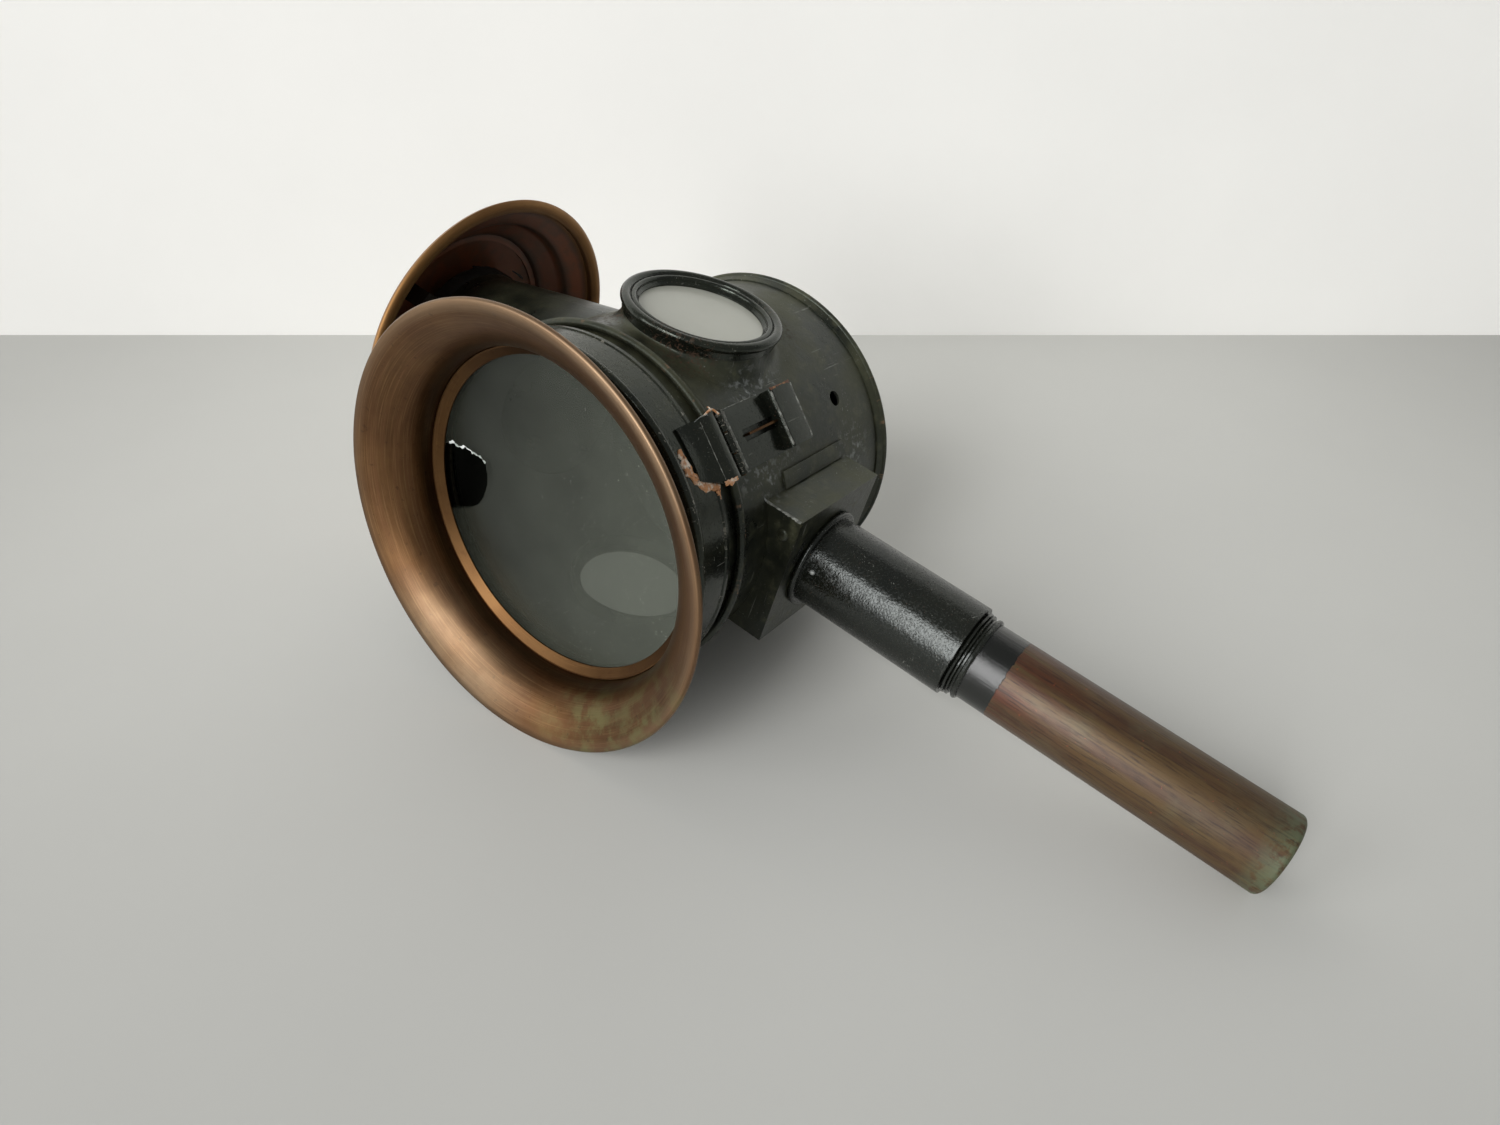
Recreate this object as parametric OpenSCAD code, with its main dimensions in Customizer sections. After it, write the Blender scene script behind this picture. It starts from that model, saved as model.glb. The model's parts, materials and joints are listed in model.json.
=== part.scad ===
// Candle carriage lamp, lying on its side as it does on a table.
// Each piece is drawn upright about the point where the drum's axis crosses the stem's:
// X runs to the tall side window, Y to the back, Z up the chimney.
// lay() then turns the lamp over until the bezel, the rear rim and the stem's end all touch the ground.

/* [Drum] */
// Outside radius of the drum
drum_r = 60.2; // [57:0.1:64]
// Thickness of the body's sheet metal
sheet = 1; // [0.7:0.1:1.3]
// Front edge of the drum, ahead of the stem
drum_fore = 55.5; // [54:0.1:57]
// Back edge of the drum, behind the stem
drum_aft = 52; // [50.5:0.1:53]
// Raised hoop round the drum, ahead of the stem
hoop_fore = 43.5; // [42.5:0.1:44]
// Radius of the hoop's wire
hoop_wire = 1.55; // [1:0.05:1.8]
// Radius of the wire rolled into the bezel's edge and the rear rim
edge_wire = 1.2; // [0.9:0.1:1.5]
// How far the rear rim stands out past the drum
rear_rim_proud = 2.6; // [2.4:0.1:3.4]
// Rear rim, behind the stem
rear_rim_aft = 54.2; // [53.6:0.1:56]
// Radius of the small air hole in the drum
vent_r = 2.8; // [1.5:0.1:4]
// Air hole, behind the stem
vent_aft = 28.2; // [20:0.1:32]
// Air hole, degrees below the side window
vent_angle = 44; // [38:1:50]

/* [Door] */
// Running gap between the door's sleeve and the drum
door_gap = 0.4; // [0.35:0.05:0.6]
// Thickness of the sleeve
door_sheet = 1.3; // [1:0.1:1.6]
// Back edge of the sleeve, ahead of the stem
door_aft = 50.7; // [50:0.1:52]
// Front face of the door, ahead of the stem
door_fore = 68.5; // [68:0.1:70]
// Radius of the bead round the door's front
door_bead = 1.9; // [1.2:0.1:2.2]
// Door hinge, degrees above the side window
hinge_angle = 138; // [130:1:145]
// Door hinge pin, ahead of the stem
hinge_fore = 47; // [46.5:0.1:48]
// Radius of the door hinge's knuckles
knuckle_r = 2.5; // [2:0.1:3]
// Radius of the door hinge pin
hinge_pin_r = 1.1; // [0.8:0.05:1.4]
// Width of the door hinge
hinge_w = 20; // [16:0.5:24]

/* [Bezel and front glass] */
// Outside radius of the flared bezel
bezel_r = 76.8; // [72:0.1:80]
// Edge of the bezel, ahead of the stem
bezel_fore = 85.3; // [82:0.1:90]
// Thickness of the bezel's copper
bezel_sheet = 1.1; // [0.8:0.1:1.3]
// How far round the flare's curve turns, in degrees
flare_turn = 58; // [45:1:75]
// Width of the brass ring in front of the glass
glass_ring_w = 3.75; // [2:0.05:8]
// Thickness of the front glass
glass_t = 2.5; // [2:0.1:2.6]
// Front face of the front glass, ahead of the stem
glass_fore = 63.1; // [62.8:0.1:63.6]
// Depth of the brass ring ahead of the glass
glass_ring_d = 2.9; // [1.5:0.1:4]
// Radius of the piece broken out of the glass
chip_r = 16; // [8:0.5:18]
// How far inside the brass ring the broken place is centred
chip_in = 5.4; // [0:0.1:8]
// Broken place, degrees above the side window
chip_angle = 105.5; // [90:0.5:115]

/* [Hasp] */
// Hasp, degrees below the side window
hasp_angle = 42; // [40:1:44]
// Width of the hasp
hasp_w = 20.5; // [18:0.1:22]
// Hasp pin, ahead of the stem
hasp_fore = 39.5; // [39.2:0.1:40]
// Free end of the hasp, ahead of the stem
hasp_end = 1.5; // [0:0.5:5]
// Thickness of the hasp's sheet
hasp_sheet = 1.1; // [0.8:0.1:1.3]
// Radius of the hasp's knuckles
hasp_knuckle_r = 2; // [1.7:0.1:2.2]
// Radius of the hasp pin
hasp_pin_r = 0.8; // [0.6:0.05:1]
// Cut corner of the hasp's leaf
leaf_chamfer = 5; // [2:0.5:7]
// Width of the slot for the catch blade
slot_w = 4; // [3:0.1:6]
// Length of the hasp's raised finger grip
grip_l = 13; // [9:0.5:15]
// How much narrower than the hasp the grip is
grip_short = 1.7; // [0:0.1:3]
// Height of the grip
grip_h = 5; // [4.5:0.1:6]
// Thickness of the catch blade
blade_t = 0.8; // [0.5:0.1:1.2]

/* [Side windows] */
// Side windows, ahead of the stem
window_fore = 7.3; // [2:0.1:10]
// Outside radius of the window necks
window_neck_r = 26.1; // [22:0.1:27]
// Radius that the flared foot of the tall window's neck runs out to
window_foot_r = 33; // [31:0.5:36]
// Radius of the side glass that shows
window_view_r = 21.7; // [16:0.1:22]
// Thickness of the side glasses
side_glass_t = 2; // [1.5:0.1:2.5]
// Inner face of the tall window's glass, out from the drum
tall_glass_out = 1.45; // [1:0.05:3]
// Inner face of the low window's glass, in from the drum's outside
low_glass_in = 1.7; // [1.2:0.1:2.7]
// Radius of the tall window's outer bead
tall_bead = 1.8; // [1.2:0.1:2]
// Radius of the low window's outer bead
low_bead = 0.9; // [0.7:0.1:1]

/* [Chimney and cap] */
// Radius of the chimney neck where it leaves the drum
neck_base_r = 39.5; // [38:0.1:42]
// Height of that place above the drum's axis
neck_base_z = 50; // [48:0.5:52]
// Radius of the chimney where its taper ends
neck_knee_r = 27.2; // [26:0.1:31]
// Height of that place
neck_knee_z = 104.5; // [100:0.5:108]
// Radius of the chimney's upper end
neck_top_r = 26.6; // [25:0.1:28]
// Height of the chimney's upper end
neck_top_z = 116; // [110:0.5:116]
// Outside radius of the cap
cap_r = 62.3; // [60:0.1:66]
// Height of the cap's edge, to the middle of a wire rolled in it
cap_z = 98.3; // [96:0.1:100]
// Thickness of the cap's copper
cap_sheet = 0.9; // [0.7:0.1:1.2]
// Radius of the roll round the cap's edge
cap_roll = 2.6; // [2:0.1:3]
// Height of the first step inside the cap, above its edge
cap_step = 7.8; // [7:0.1:9]
// Height of the ledge under the crown, above the cap's edge
cap_rise = 18.9; // [18:0.1:22]
// Radius of the opening under the crown
crown_r = 38.1; // [34:0.1:40]
// Rise of the domed crown
crown_rise = 9; // [6:0.1:12]
// Width of the cap's legs
leg_w = 7; // [5:0.5:10]
// Direction of the first leg, in degrees
leg_angle = -54; // [-60:1:-30]

/* [Stem] */
// Half width of the stem box, side to side
box_hx = 26.4; // [22:0.1:30]
// Half width of the stem box, front to back
box_hy = 26; // [22:0.1:30]
// Bottom of the stem box, below the drum
box_drop = 8.8; // [6:0.1:12]
// Length of the flanges beside the box
flange_l = 39; // [30:0.5:44]
// Width of the flanges
flange_w = 6.2; // [5:0.1:9]
// Outside radius of the socket tube
socket_r = 17; // [16.5:0.05:18]
// Lower end of the socket tube, below the drum's axis
socket_z = 130.3; // [115:0.1:140]
// How far the collar shows below the socket tube
collar_l = 5.9; // [4:0.1:9]
// How far the collar reaches up inside the socket tube
collar_in = 18; // [10:0.5:24]
// How far the upper guide reaches below the box
guide_below = 14; // [10:0.5:20]
// Radius of the ring where the stem leaves the box
root_wire = 1.1; // [0.7:0.05:1.4]
// Outside radius of the candle tube
tube_r = 14.3; // [13.8:0.05:14.6]
// Lower end of the candle tube, below the drum's axis
tube_z = 242; // [225:0.5:260]
// Rounding of the candle tube's closed end
tube_round = 1.5; // [1:0.1:2]
// Depth of the plug in the tube's closed end
plug_l = 7; // [4:0.5:10]
// Running gap round the candle tube
tube_gap = 0.05; // [0.03:0.01:0.08]

/* [Candle] */
// Radius of the candle
candle_r = 11.5; // [9:0.1:12]
// Length of the candle
candle_l = 152; // [120:1:158]
// Top of the nozzle, below the drum's axis
nozzle_z = 21; // [19:0.5:25]
// Radius of the nozzle's mouth
mouth_r = 5.2; // [4:0.1:6]
// Number of turns of the candle spring
spring_turns = 13; // [8:1:16]
// Radius of the spring's wire
spring_wire = 0.8; // [0.6:0.05:0.9]

/* [Reflector] */
// Radius of the reflector
reflector_r = 53; // [48:0.5:55]
// Depth of the reflector's dish
reflector_d = 22; // [14:0.5:23]
// Radius of the rivet that holds it
rivet_r = 3; // [2:0.1:4]

/* [Hidden] */

// Gap between pieces that are soldered or nested, and between pieces that move past each other
fit = 0.05;
free = 0.35;
// Reach of a tool that cuts right through
through = 200;
$fn = 96;

// Drum and hoop
drum_in = drum_r - sheet;
hoop_r = drum_r + fit + hoop_wire;
hoop_top = hoop_r + hoop_wire;
rear_rim_r = drum_r + rear_rim_proud - edge_wire;
back_plate_y = drum_aft - 1.5;

// Door, bezel and glass
door_in = drum_r + door_gap;
door_out = door_in + door_sheet;
door_step = 0.4;
bezel_out = door_in - fit;
bezel_in = bezel_out - bezel_sheet;
bezel_mid = bezel_in + bezel_sheet / 2;
bezel_edge_r = bezel_r - edge_wire;
glass_view_r = bezel_in - glass_ring_w;
flare_fore = door_fore + 0.1;
flare_a = (bezel_edge_r - bezel_mid) / (1 - cos(flare_turn));
flare_b = (bezel_fore - flare_fore) / sin(flare_turn);
front_glass_r = bezel_in - free;
glass_back = glass_fore - glass_t;
seat_fore = glass_back - fit;
seat_t = 1;

// Door hinge
hinge_h = hoop_top + 0.75 + knuckle_r;
web_low = hoop_top + 0.2;
web_high = web_low + 1.4;
knuckle_gap = 0.35;
pin_gap = 0.05;

// Hasp: its plate lies just off the drum
hasp_turn = 2 * asin(hasp_w / 2 / drum_r);
plate_r = drum_r + 0.8;
plate_top = plate_r + hasp_sheet;
hasp_h = drum_r + 0.7 + hasp_knuckle_r;
hasp_leaf_r = hoop_top + free;
slot_fore = hasp_fore - 9;
blade_top = plate_top + 1.5;
blade_notch = blade_top + 1;
grip_turn = grip_short / drum_r * 180 / PI;

// Windows
neck_wall = 1;
window_in = window_neck_r - neck_wall;
side_glass_r = window_in - 0.3;
tall_glass_x = drum_r + tall_glass_out;
low_glass_x = drum_r - low_glass_in;
neck_inner_x = drum_in - 6.5;

// Chimney and cap
neck_slope = (neck_base_r - neck_knee_r) / (neck_knee_z - neck_base_z);
function neck_at(z) = neck_base_r - neck_slope * (z - neck_base_z);
cap_roll_r = cap_r - cap_roll;
cap_roll_z = cap_z - edge_wire + cap_roll;
cap_ledge_z = cap_z + cap_rise;
cap_path = [[cap_roll_r, cap_roll_z], [cap_roll_r - cap_roll, cap_z + 2.8],
  [cap_roll_r - 9.8, cap_z + cap_step], [cap_roll_r - 11.1, cap_z + cap_step + 4.4], [crown_r + 3, cap_ledge_z - 1.4],
  [crown_r + 2.6, cap_ledge_z], [crown_r, cap_ledge_z]];
crown_base_z = cap_ledge_z + cap_sheet + fit;

// Stem and candle
box_wall = sheet;
box_z = drum_r + box_drop;
socket_in = socket_r - sheet;
guide_top_z = drum_in - 3;
guide_in = tube_r + tube_gap;
guide_out = socket_in - fit;
root_low = box_z + fit + 2 * root_wire;
tube_in = tube_r - sheet;
tube_top_z = nozzle_z + 9;
end_wall = 1.2;
candle_top_z = tube_top_z + 1.2;
follower_top_z = candle_top_z + candle_l + fit;
follower_t = 3;
spring_r = tube_in - spring_wire - 1.2;
spring_top_z = follower_top_z + follower_t + 0.3;
spring_low_z = tube_z - end_wall - 0.3;

// Reflector
reflector_sheet = 0.8;
reflector_back_y = back_plate_y - 5;
dish_r = (reflector_r * reflector_r + reflector_d * reflector_d) / (2 * reflector_d);

// The ground touches the bezel's edge, the rear rim and the stem's rounded end
up_y = -sin(atan((bezel_edge_r - rear_rim_r) / (rear_rim_aft + bezel_fore)));
rest_height = bezel_edge_r * sqrt(1 - up_y * up_y) + bezel_fore * up_y + edge_wire;
stem_arm = tube_z - tube_round;
stem_side = tube_r - tube_round;
dip = asin((rest_height - tube_round) / norm([stem_arm, stem_side])) - atan(stem_side / stem_arm);
lean = asin(up_y / cos(dip));

// Ground axes, in the upright lamp's own directions
east = [sin(dip) * cos(lean), sin(dip) * sin(lean), -cos(dip)];
north = [-sin(lean), cos(lean), 0];
function reach(centre, axis, r, way) = centre * way + r * sqrt(1 - pow(axis * way, 2));
stem_reach = reach([0, 0, -stem_arm], [0, 0, 1], stem_side, east) + tube_round;
cap_reach = max(
  reach([0, 0, crown_base_z + crown_rise], [0, 0, 1], 0, -east) + cap_sheet,
  reach([0, 0, crown_base_z], [0, 0, 1], crown_r, -east) + cap_sheet);
back_reach = max(reach([0, rear_rim_aft, 0], [0, 1, 0], rear_rim_r, north) + edge_wire,
  reach([0, 0, cap_z], [0, 0, 1], cap_r, north));
front_reach = reach([0, -bezel_fore, 0], [0, 1, 0], bezel_edge_r, -north) + edge_wire;
shift_x = (cap_reach - stem_reach) / 2;
shift_y = (front_reach - back_reach) / 2;

module lay() {
  translate([shift_x, shift_y, rest_height]) rotate([lean, dip, 0]) rotate([0, -90, 0]) children();
}

// Turn a piece drawn along +Z to run back along the drum's axis, or out along either window's axis
module along_y() { rotate([-90, 0, 0]) children(); }
module along_x(side) { rotate([0, side * 90, 0]) children(); }
// Local X is out from the drum's axis, Y back along it, Z round it
module on_drum(angle) { rotate([0, -angle, 0]) children(); }

// A sheet of even thickness round a path of [radius, height] points
function side_of(a, b) = [a[1] - b[1], b[0] - a[0]] / norm(b - a);
function corner_way(p, i) =
  i == 0 ? side_of(p[0], p[1]) :
  i == len(p) - 1 ? side_of(p[i - 1], p[i]) :
  let (s = side_of(p[i - 1], p[i]) + side_of(p[i], p[i + 1])) 2 * s / (s * s);
function sheet_outline(p, t) = concat(
  [for (i = [0 : len(p) - 1]) p[i] + corner_way(p, i) * t / 2],
  [for (i = [len(p) - 1 : -1 : 0]) p[i] - corner_way(p, i) * t / 2]);
module spun_sheet(p, t) { rotate_extrude() polygon(sheet_outline(p, t)); }
module wire_ring(r, wire) { rotate_extrude() translate([r, 0]) circle(wire, $fn = 48); }
module tube(r, wall, h) {
  difference() {
    cylinder(r = r, h = h);
    translate([0, 0, -1]) cylinder(r = r - wall, h = h + 2);
  }
}
// Part of a ring of the given [radius, y] outline, centred on an angle above the tall window
module drum_sector(angle, turn, outline) {
  along_y() rotate([0, 0, -angle - turn / 2]) rotate_extrude(angle = turn) polygon(outline);
}
module drum_solid(r) { along_y() translate([0, 0, -through / 2]) cylinder(r = r, h = through); }

// Drum

module drum_shell() {
  color("#232522") lay() difference() {
    along_y() translate([0, 0, -drum_fore]) tube(drum_r, sheet, drum_fore + drum_aft);
    for (side = [-1, 1])
      translate([0, -window_fore, 0]) along_x(side) cylinder(r = window_neck_r + fit, h = through);
    cylinder(r = neck_at(drum_r) - 4, h = through);
    translate([0, 0, -through]) cylinder(r = guide_out + fit, h = through);
    on_drum(-vent_angle) translate([0, vent_aft, 0]) rotate([0, 90, 0]) cylinder(r = vent_r, h = through);
  }
}
module front_hoop() {
  color("#262824") lay() translate([0, -hoop_fore, 0]) along_y() wire_ring(hoop_r, hoop_wire);
}
module back_plate() {
  dish = 2.2;
  path = [[drum_in - fit - sheet / 2, back_plate_y - 4], [drum_in - fit - sheet / 2, back_plate_y],
    [drum_in - 9, back_plate_y], [drum_in - 12, back_plate_y - dish], [rivet_r + fit, back_plate_y - dish]];
  color("#242623") lay() along_y() spun_sheet(path, sheet);
}
module rear_rim() {
  skirt = [[drum_r + fit, drum_aft - 1.4], [drum_r + fit + 0.5, drum_aft - 1.4],
    [rear_rim_r + edge_wire * 0.3, rear_rim_aft - 1], [rear_rim_r, rear_rim_aft], [drum_r + fit, rear_rim_aft]];
  color("#262824") lay() along_y() union() {
    rotate_extrude() polygon(skirt);
    translate([0, 0, rear_rim_aft]) wire_ring(rear_rim_r, edge_wire);
  }
}

// Side windows, drawn out along local +Z

module window_neck(glass_x) {
  translate([0, 0, neck_inner_x])
    tube(window_neck_r, neck_wall, glass_x + side_glass_t - neck_inner_x);
}
module window_seat(glass_x) {
  translate([0, 0, glass_x - seat_t - fit]) tube(window_in - fit, window_in - fit - window_view_r, seat_t);
}
module window_glass(glass_x) {
  translate([0, 0, glass_x]) cylinder(r = side_glass_r, h = side_glass_t);
}
module window_ring(glass_x, bead, skirt_low) {
  face = glass_x + side_glass_t + fit;
  inner = bead * 0.65;
  union() {
    rotate_extrude() polygon([[window_neck_r + fit, skirt_low], [window_neck_r + fit + 0.9, skirt_low],
      [window_neck_r + fit + 0.9, face + bead], [window_view_r + 1.4, face + bead], [window_view_r, face + bead * 0.3],
      [window_view_r, face], [window_neck_r + fit, face]]);
    translate([0, 0, face + bead]) wire_ring(window_neck_r + fit + 0.35, bead);
    translate([0, 0, face + bead]) wire_ring(window_view_r + 1.4 + inner * 0.6, inner);
  }
}
// The neck's flared foot, a curve that starts along the neck and runs out onto the drum
saddle_sheet = 0.8;
saddle_r = window_neck_r + fit + saddle_sheet / 2;
saddle_top = drum_r + 1.3;
saddle_low = sqrt(drum_r * drum_r - window_foot_r * window_foot_r) - 0.3;
saddle_steps = 5;
saddle_path = [for (i = [0 : saddle_steps]) let (t = 75 * i / saddle_steps)
  [saddle_r + (window_foot_r - saddle_r) * (1 - cos(t)), saddle_low + (saddle_top - saddle_low) * (1 - sin(t))]];
module at_window(side) { translate([0, -window_fore, 0]) along_x(side) children(); }

module tall_window_neck() { color("#2a2a26") lay() at_window(1) window_neck(tall_glass_x); }
module tall_window_saddle() {
  color("#262824") lay() difference() {
    at_window(1) spun_sheet(saddle_path, saddle_sheet);
    drum_solid(drum_r + fit);
  }
}
module tall_window_seat() { color("#4a4636") lay() at_window(1) window_seat(tall_glass_x); }
module tall_window_glass() { color("#c4c8c2", 0.6) lay() at_window(1) window_glass(tall_glass_x); }
module tall_window_ring() {
  color("#20221f") lay() at_window(1) window_ring(tall_glass_x, tall_bead, saddle_top + fit);
}
module low_window_neck() { color("#2a2a26") lay() at_window(-1) window_neck(low_glass_x); }
module low_window_seat() { color("#4a4636") lay() at_window(-1) window_seat(low_glass_x); }
module low_window_glass() { color("#c4c8c2", 0.6) lay() at_window(-1) window_glass(low_glass_x); }
module low_window_ring() {
  color("#20221f") lay() at_window(-1) window_ring(low_glass_x, low_bead, drum_r + 0.15);
}

// Chimney and cap

module chimney_neck() {
  foot_z = neck_base_z - 10;
  color("#1f201d") lay() difference() {
    spun_sheet([[neck_at(foot_z), foot_z], [neck_knee_r, neck_knee_z], [neck_top_r, neck_top_z]], sheet);
    drum_solid(drum_r + fit);
  }
}
module cap_legs() {
  leg_sheet = 1;
  stand = (sheet + leg_sheet) / 2 + fit;
  low = cap_z - 6;
  bend = cap_z + 3;
  outer = crown_r + 7;
  foot = cap_path[3];
  head = cap_path[4];
  under = head[1] + (foot[1] - head[1]) * (outer - head[0]) / (foot[0] - head[0]) - cap_sheet / 2 - 0.6;
  path = [[neck_at(low) + stand, low], [neck_at(bend) + stand, bend], [outer, bend + 0.5], [outer, under]];
  color("#4a2f20") lay() for (turn = [0, 180])
    rotate([0, 0, leg_angle + turn]) translate([0, leg_w / 2, 0]) rotate([90, 0, 0])
      linear_extrude(leg_w) polygon(sheet_outline(path, leg_sheet));
}
module cap_skirt() {
  color("#8a5f3c") lay() union() {
    spun_sheet(cap_path, cap_sheet);
    translate([0, 0, cap_roll_z]) wire_ring(cap_roll_r, cap_roll);
  }
}
module cap_crown() {
  base_r = crown_r + 1.8;
  dome_r = (base_r * base_r + crown_rise * crown_rise) / (2 * crown_rise);
  color("#8a5f3c") lay() translate([0, 0, crown_base_z - cap_sheet / 2 + crown_rise - dome_r]) difference() {
    sphere(r = dome_r + cap_sheet, $fn = 128);
    sphere(r = dome_r, $fn = 128);
    translate([0, 0, -2 * dome_r]) cylinder(r = 2 * dome_r, h = 3 * dome_r - crown_rise);
  }
}

// Stem box, socket tube and guides

module stem_box() {
  color("#2b2d28") lay() difference() {
    translate([-box_hx, -box_hy, -box_z]) cube([2 * box_hx, 2 * box_hy, box_z - drum_r / 2]);
    translate([-box_hx + box_wall, -box_hy + box_wall, -box_z + box_wall])
      cube([2 * (box_hx - box_wall), 2 * (box_hy - box_wall), box_z]);
    drum_solid(drum_r + fit);
    translate([0, 0, -box_z - 1]) cylinder(r = guide_out + fit, h = box_z);
  }
}
flange_start = acos(box_hx / (drum_r + fit)) - 0.3;
flange_turn = flange_w / drum_r * 180 / PI;
flange_aft = 24;
flange_outline = [[drum_r + fit, flange_aft - flange_l], [drum_r + fit + 0.8, flange_aft - flange_l],
  [drum_r + fit + 0.8, flange_aft], [drum_r + fit, flange_aft]];
module box_flange_right() {
  color("#24261f") lay() drum_sector(-flange_start + flange_turn / 2, flange_turn, flange_outline);
}
module box_flange_left() {
  color("#24261f") lay() drum_sector(180 + flange_start - flange_turn / 2, flange_turn, flange_outline);
}
module stem_root_ring() {
  inner = guide_out + fit;
  bead_r = socket_r + fit + root_wire;
  color("#1d1f1c") lay() union() {
    translate([0, 0, -root_low]) tube(bead_r, bead_r - inner, 2 * root_wire);
    translate([0, 0, -root_low + root_wire]) wire_ring(bead_r, root_wire);
  }
}
module socket_tube() {
  color("#1d1f1d") lay() translate([0, 0, -socket_z]) tube(socket_r, sheet, socket_z - root_low - fit);
}
module upper_guide() {
  color("#6a5a3a") lay() translate([0, 0, -root_low - guide_below])
    tube(guide_out, guide_out - guide_in, root_low + guide_below - guide_top_z);
}
module socket_collar() {
  shown_r = guide_out - 0.8;
  low = socket_z + collar_l;
  outline = [[guide_in, -low], [guide_in + 0.5, -low], [shown_r, -low + 0.6], [shown_r, -low + 2],
    [shown_r - 0.6, -low + 2.4], [shown_r - 0.6, -low + 2.9], [shown_r + 0.2, -low + 3.3],
    [shown_r + 0.2, -socket_z - 0.6], [shown_r - 0.4, -socket_z], [guide_out, -socket_z],
    [guide_out, -socket_z + collar_in], [guide_in, -socket_z + collar_in]];
  color("#26261f") lay() rotate_extrude() polygon(outline);
}

// Reflector

module reflector() {
  color("#b9bdbb") lay() along_y() translate([0, 0, reflector_back_y - dish_r]) difference() {
    sphere(r = dish_r, $fn = 128);
    sphere(r = dish_r - reflector_sheet, $fn = 128);
    translate([0, 0, -2 * dish_r]) cylinder(r = 2 * dish_r, h = 3 * dish_r - reflector_d);
    cylinder(r = rivet_r + fit, h = 2 * dish_r);
  }
}
module reflector_rivet() {
  plate_front = back_plate_y - 2.2 - sheet / 2;
  head = reflector_back_y - reflector_sheet - 0.4;
  outline = [[0, head - 1.6], [rivet_r * 0.8, head - 1.3], [rivet_r * 1.6, head], [rivet_r, head],
    [rivet_r, reflector_back_y + fit], [rivet_r * 1.8, reflector_back_y + fit], [rivet_r * 1.8, plate_front - fit],
    [rivet_r, plate_front - fit], [rivet_r, plate_front + sheet + fit], [rivet_r * 1.6, plate_front + sheet + fit],
    [rivet_r * 0.8, plate_front + sheet + 1.4], [0, plate_front + sheet + 1.7]];
  color("#8c8f8a") lay() along_y() rotate_extrude() polygon(outline);
}

// Door

module door_ring() {
  outline = [[door_in, -door_aft], [door_out + door_step, -door_aft], [door_out + door_step, -door_aft - 1.3],
    [door_out, -door_aft - 1.7], [door_out, -door_fore + door_bead * 1.6], [door_out + door_bead, -door_fore + door_bead],
    [door_out + door_bead * 0.5, -door_fore], [door_in, -door_fore]];
  color("#1e201e") lay() along_y() union() {
    rotate_extrude() polygon(outline);
    translate([0, 0, -door_fore + door_bead]) wire_ring(door_out + door_bead * 0.4, door_bead);
  }
}
flare_steps = 14;
flare_path = concat([[bezel_mid, -glass_back]], [for (i = [0 : flare_steps])
  let (t = flare_turn * i / flare_steps)
  [bezel_mid + flare_a * (1 - cos(t)), -flare_fore - flare_b * sin(t)]]);
module bezel() {
  color("#7d563a") lay() along_y() union() {
    spun_sheet(flare_path, bezel_sheet);
    translate([0, 0, -bezel_fore]) wire_ring(bezel_edge_r, edge_wire);
  }
}
module glass_ring() {
  outer = bezel_in - fit;
  back = -glass_fore - fit;
  outline = [[glass_view_r, back], [glass_view_r, back - 0.5], [outer - 0.8, back - glass_ring_d + 0.1],
    [outer - 0.3, back - glass_ring_d], [outer, back - glass_ring_d + 0.3], [outer, back]];
  color("#a9773f") lay() along_y() rotate_extrude() polygon(outline);
}
module front_glass() {
  color("#6a736c", 0.55) lay() difference() {
    translate([0, -glass_fore, 0]) along_y() cylinder(r = front_glass_r, h = glass_t);
    on_drum(chip_angle) translate([glass_view_r - chip_in, -glass_fore - 1, 0]) along_y()
      cylinder(r = chip_r, h = glass_t + 2);
  }
}
module glass_seat() {
  outer = door_in - fit;
  color("#3b3a2c") lay() along_y() translate([0, 0, -seat_fore]) tube(outer, outer - glass_view_r - 0.2, seat_t);
}

// Hinges: knuckles lie along local Z, at a height above the drum's axis

hinge_end = hinge_w / 2;
hinge_mid = hinge_w / 6;
module hinge_web(from, to, z0, z1) {
  translate([web_low, from, z0]) cube([web_high - web_low, to - from, z1 - z0]);
}
module hinge_foot(outline) {
  translate([0, 0, -hinge_end]) linear_extrude(hinge_w) polygon(outline);
}
module door_hinge_leaf() {
  back = -door_aft - 1.9;
  top = door_out + 1.5;
  color("#22241f") lay() on_drum(hinge_angle) difference() {
    union() {
      hinge_foot([[drum_r / 2, back - 11], [top, back - 11], [top, back - 5], [web_high, back - 1.5],
        [web_high, back], [drum_r / 2, back]]);
      hinge_web(back - 1, -hinge_fore, -hinge_mid, hinge_mid);
      translate([hinge_h, -hinge_fore, -hinge_mid]) cylinder(r = knuckle_r, h = 2 * hinge_mid, $fn = 48);
    }
    drum_solid(door_out + fit);
    translate([hinge_h, -hinge_fore, 0]) cylinder(r = hinge_pin_r + pin_gap, h = through, center = true, $fn = 48);
  }
}
module drum_hinge_leaf() {
  front = -hoop_fore + hoop_wire + 0.6;
  top = drum_r + 1.6;
  knuckle_w = hinge_end - hinge_mid - knuckle_gap;
  color("#22241f") lay() on_drum(hinge_angle) difference() {
    union() {
      hinge_foot([[drum_r / 2, front], [web_high, front], [web_high, front + 1.5], [top, front + 5],
        [top, front + 12], [drum_r / 2, front + 12]]);
      for (z = [-hinge_end, hinge_mid + knuckle_gap]) {
        hinge_web(-hinge_fore, front + 1, z, z + knuckle_w);
        translate([hinge_h, -hinge_fore, z]) cylinder(r = knuckle_r, h = knuckle_w, $fn = 48);
      }
    }
    drum_solid(drum_r + fit);
    translate([hinge_h, -hinge_fore, 0]) cylinder(r = hinge_pin_r + fit, h = through, center = true, $fn = 48);
  }
}
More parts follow.
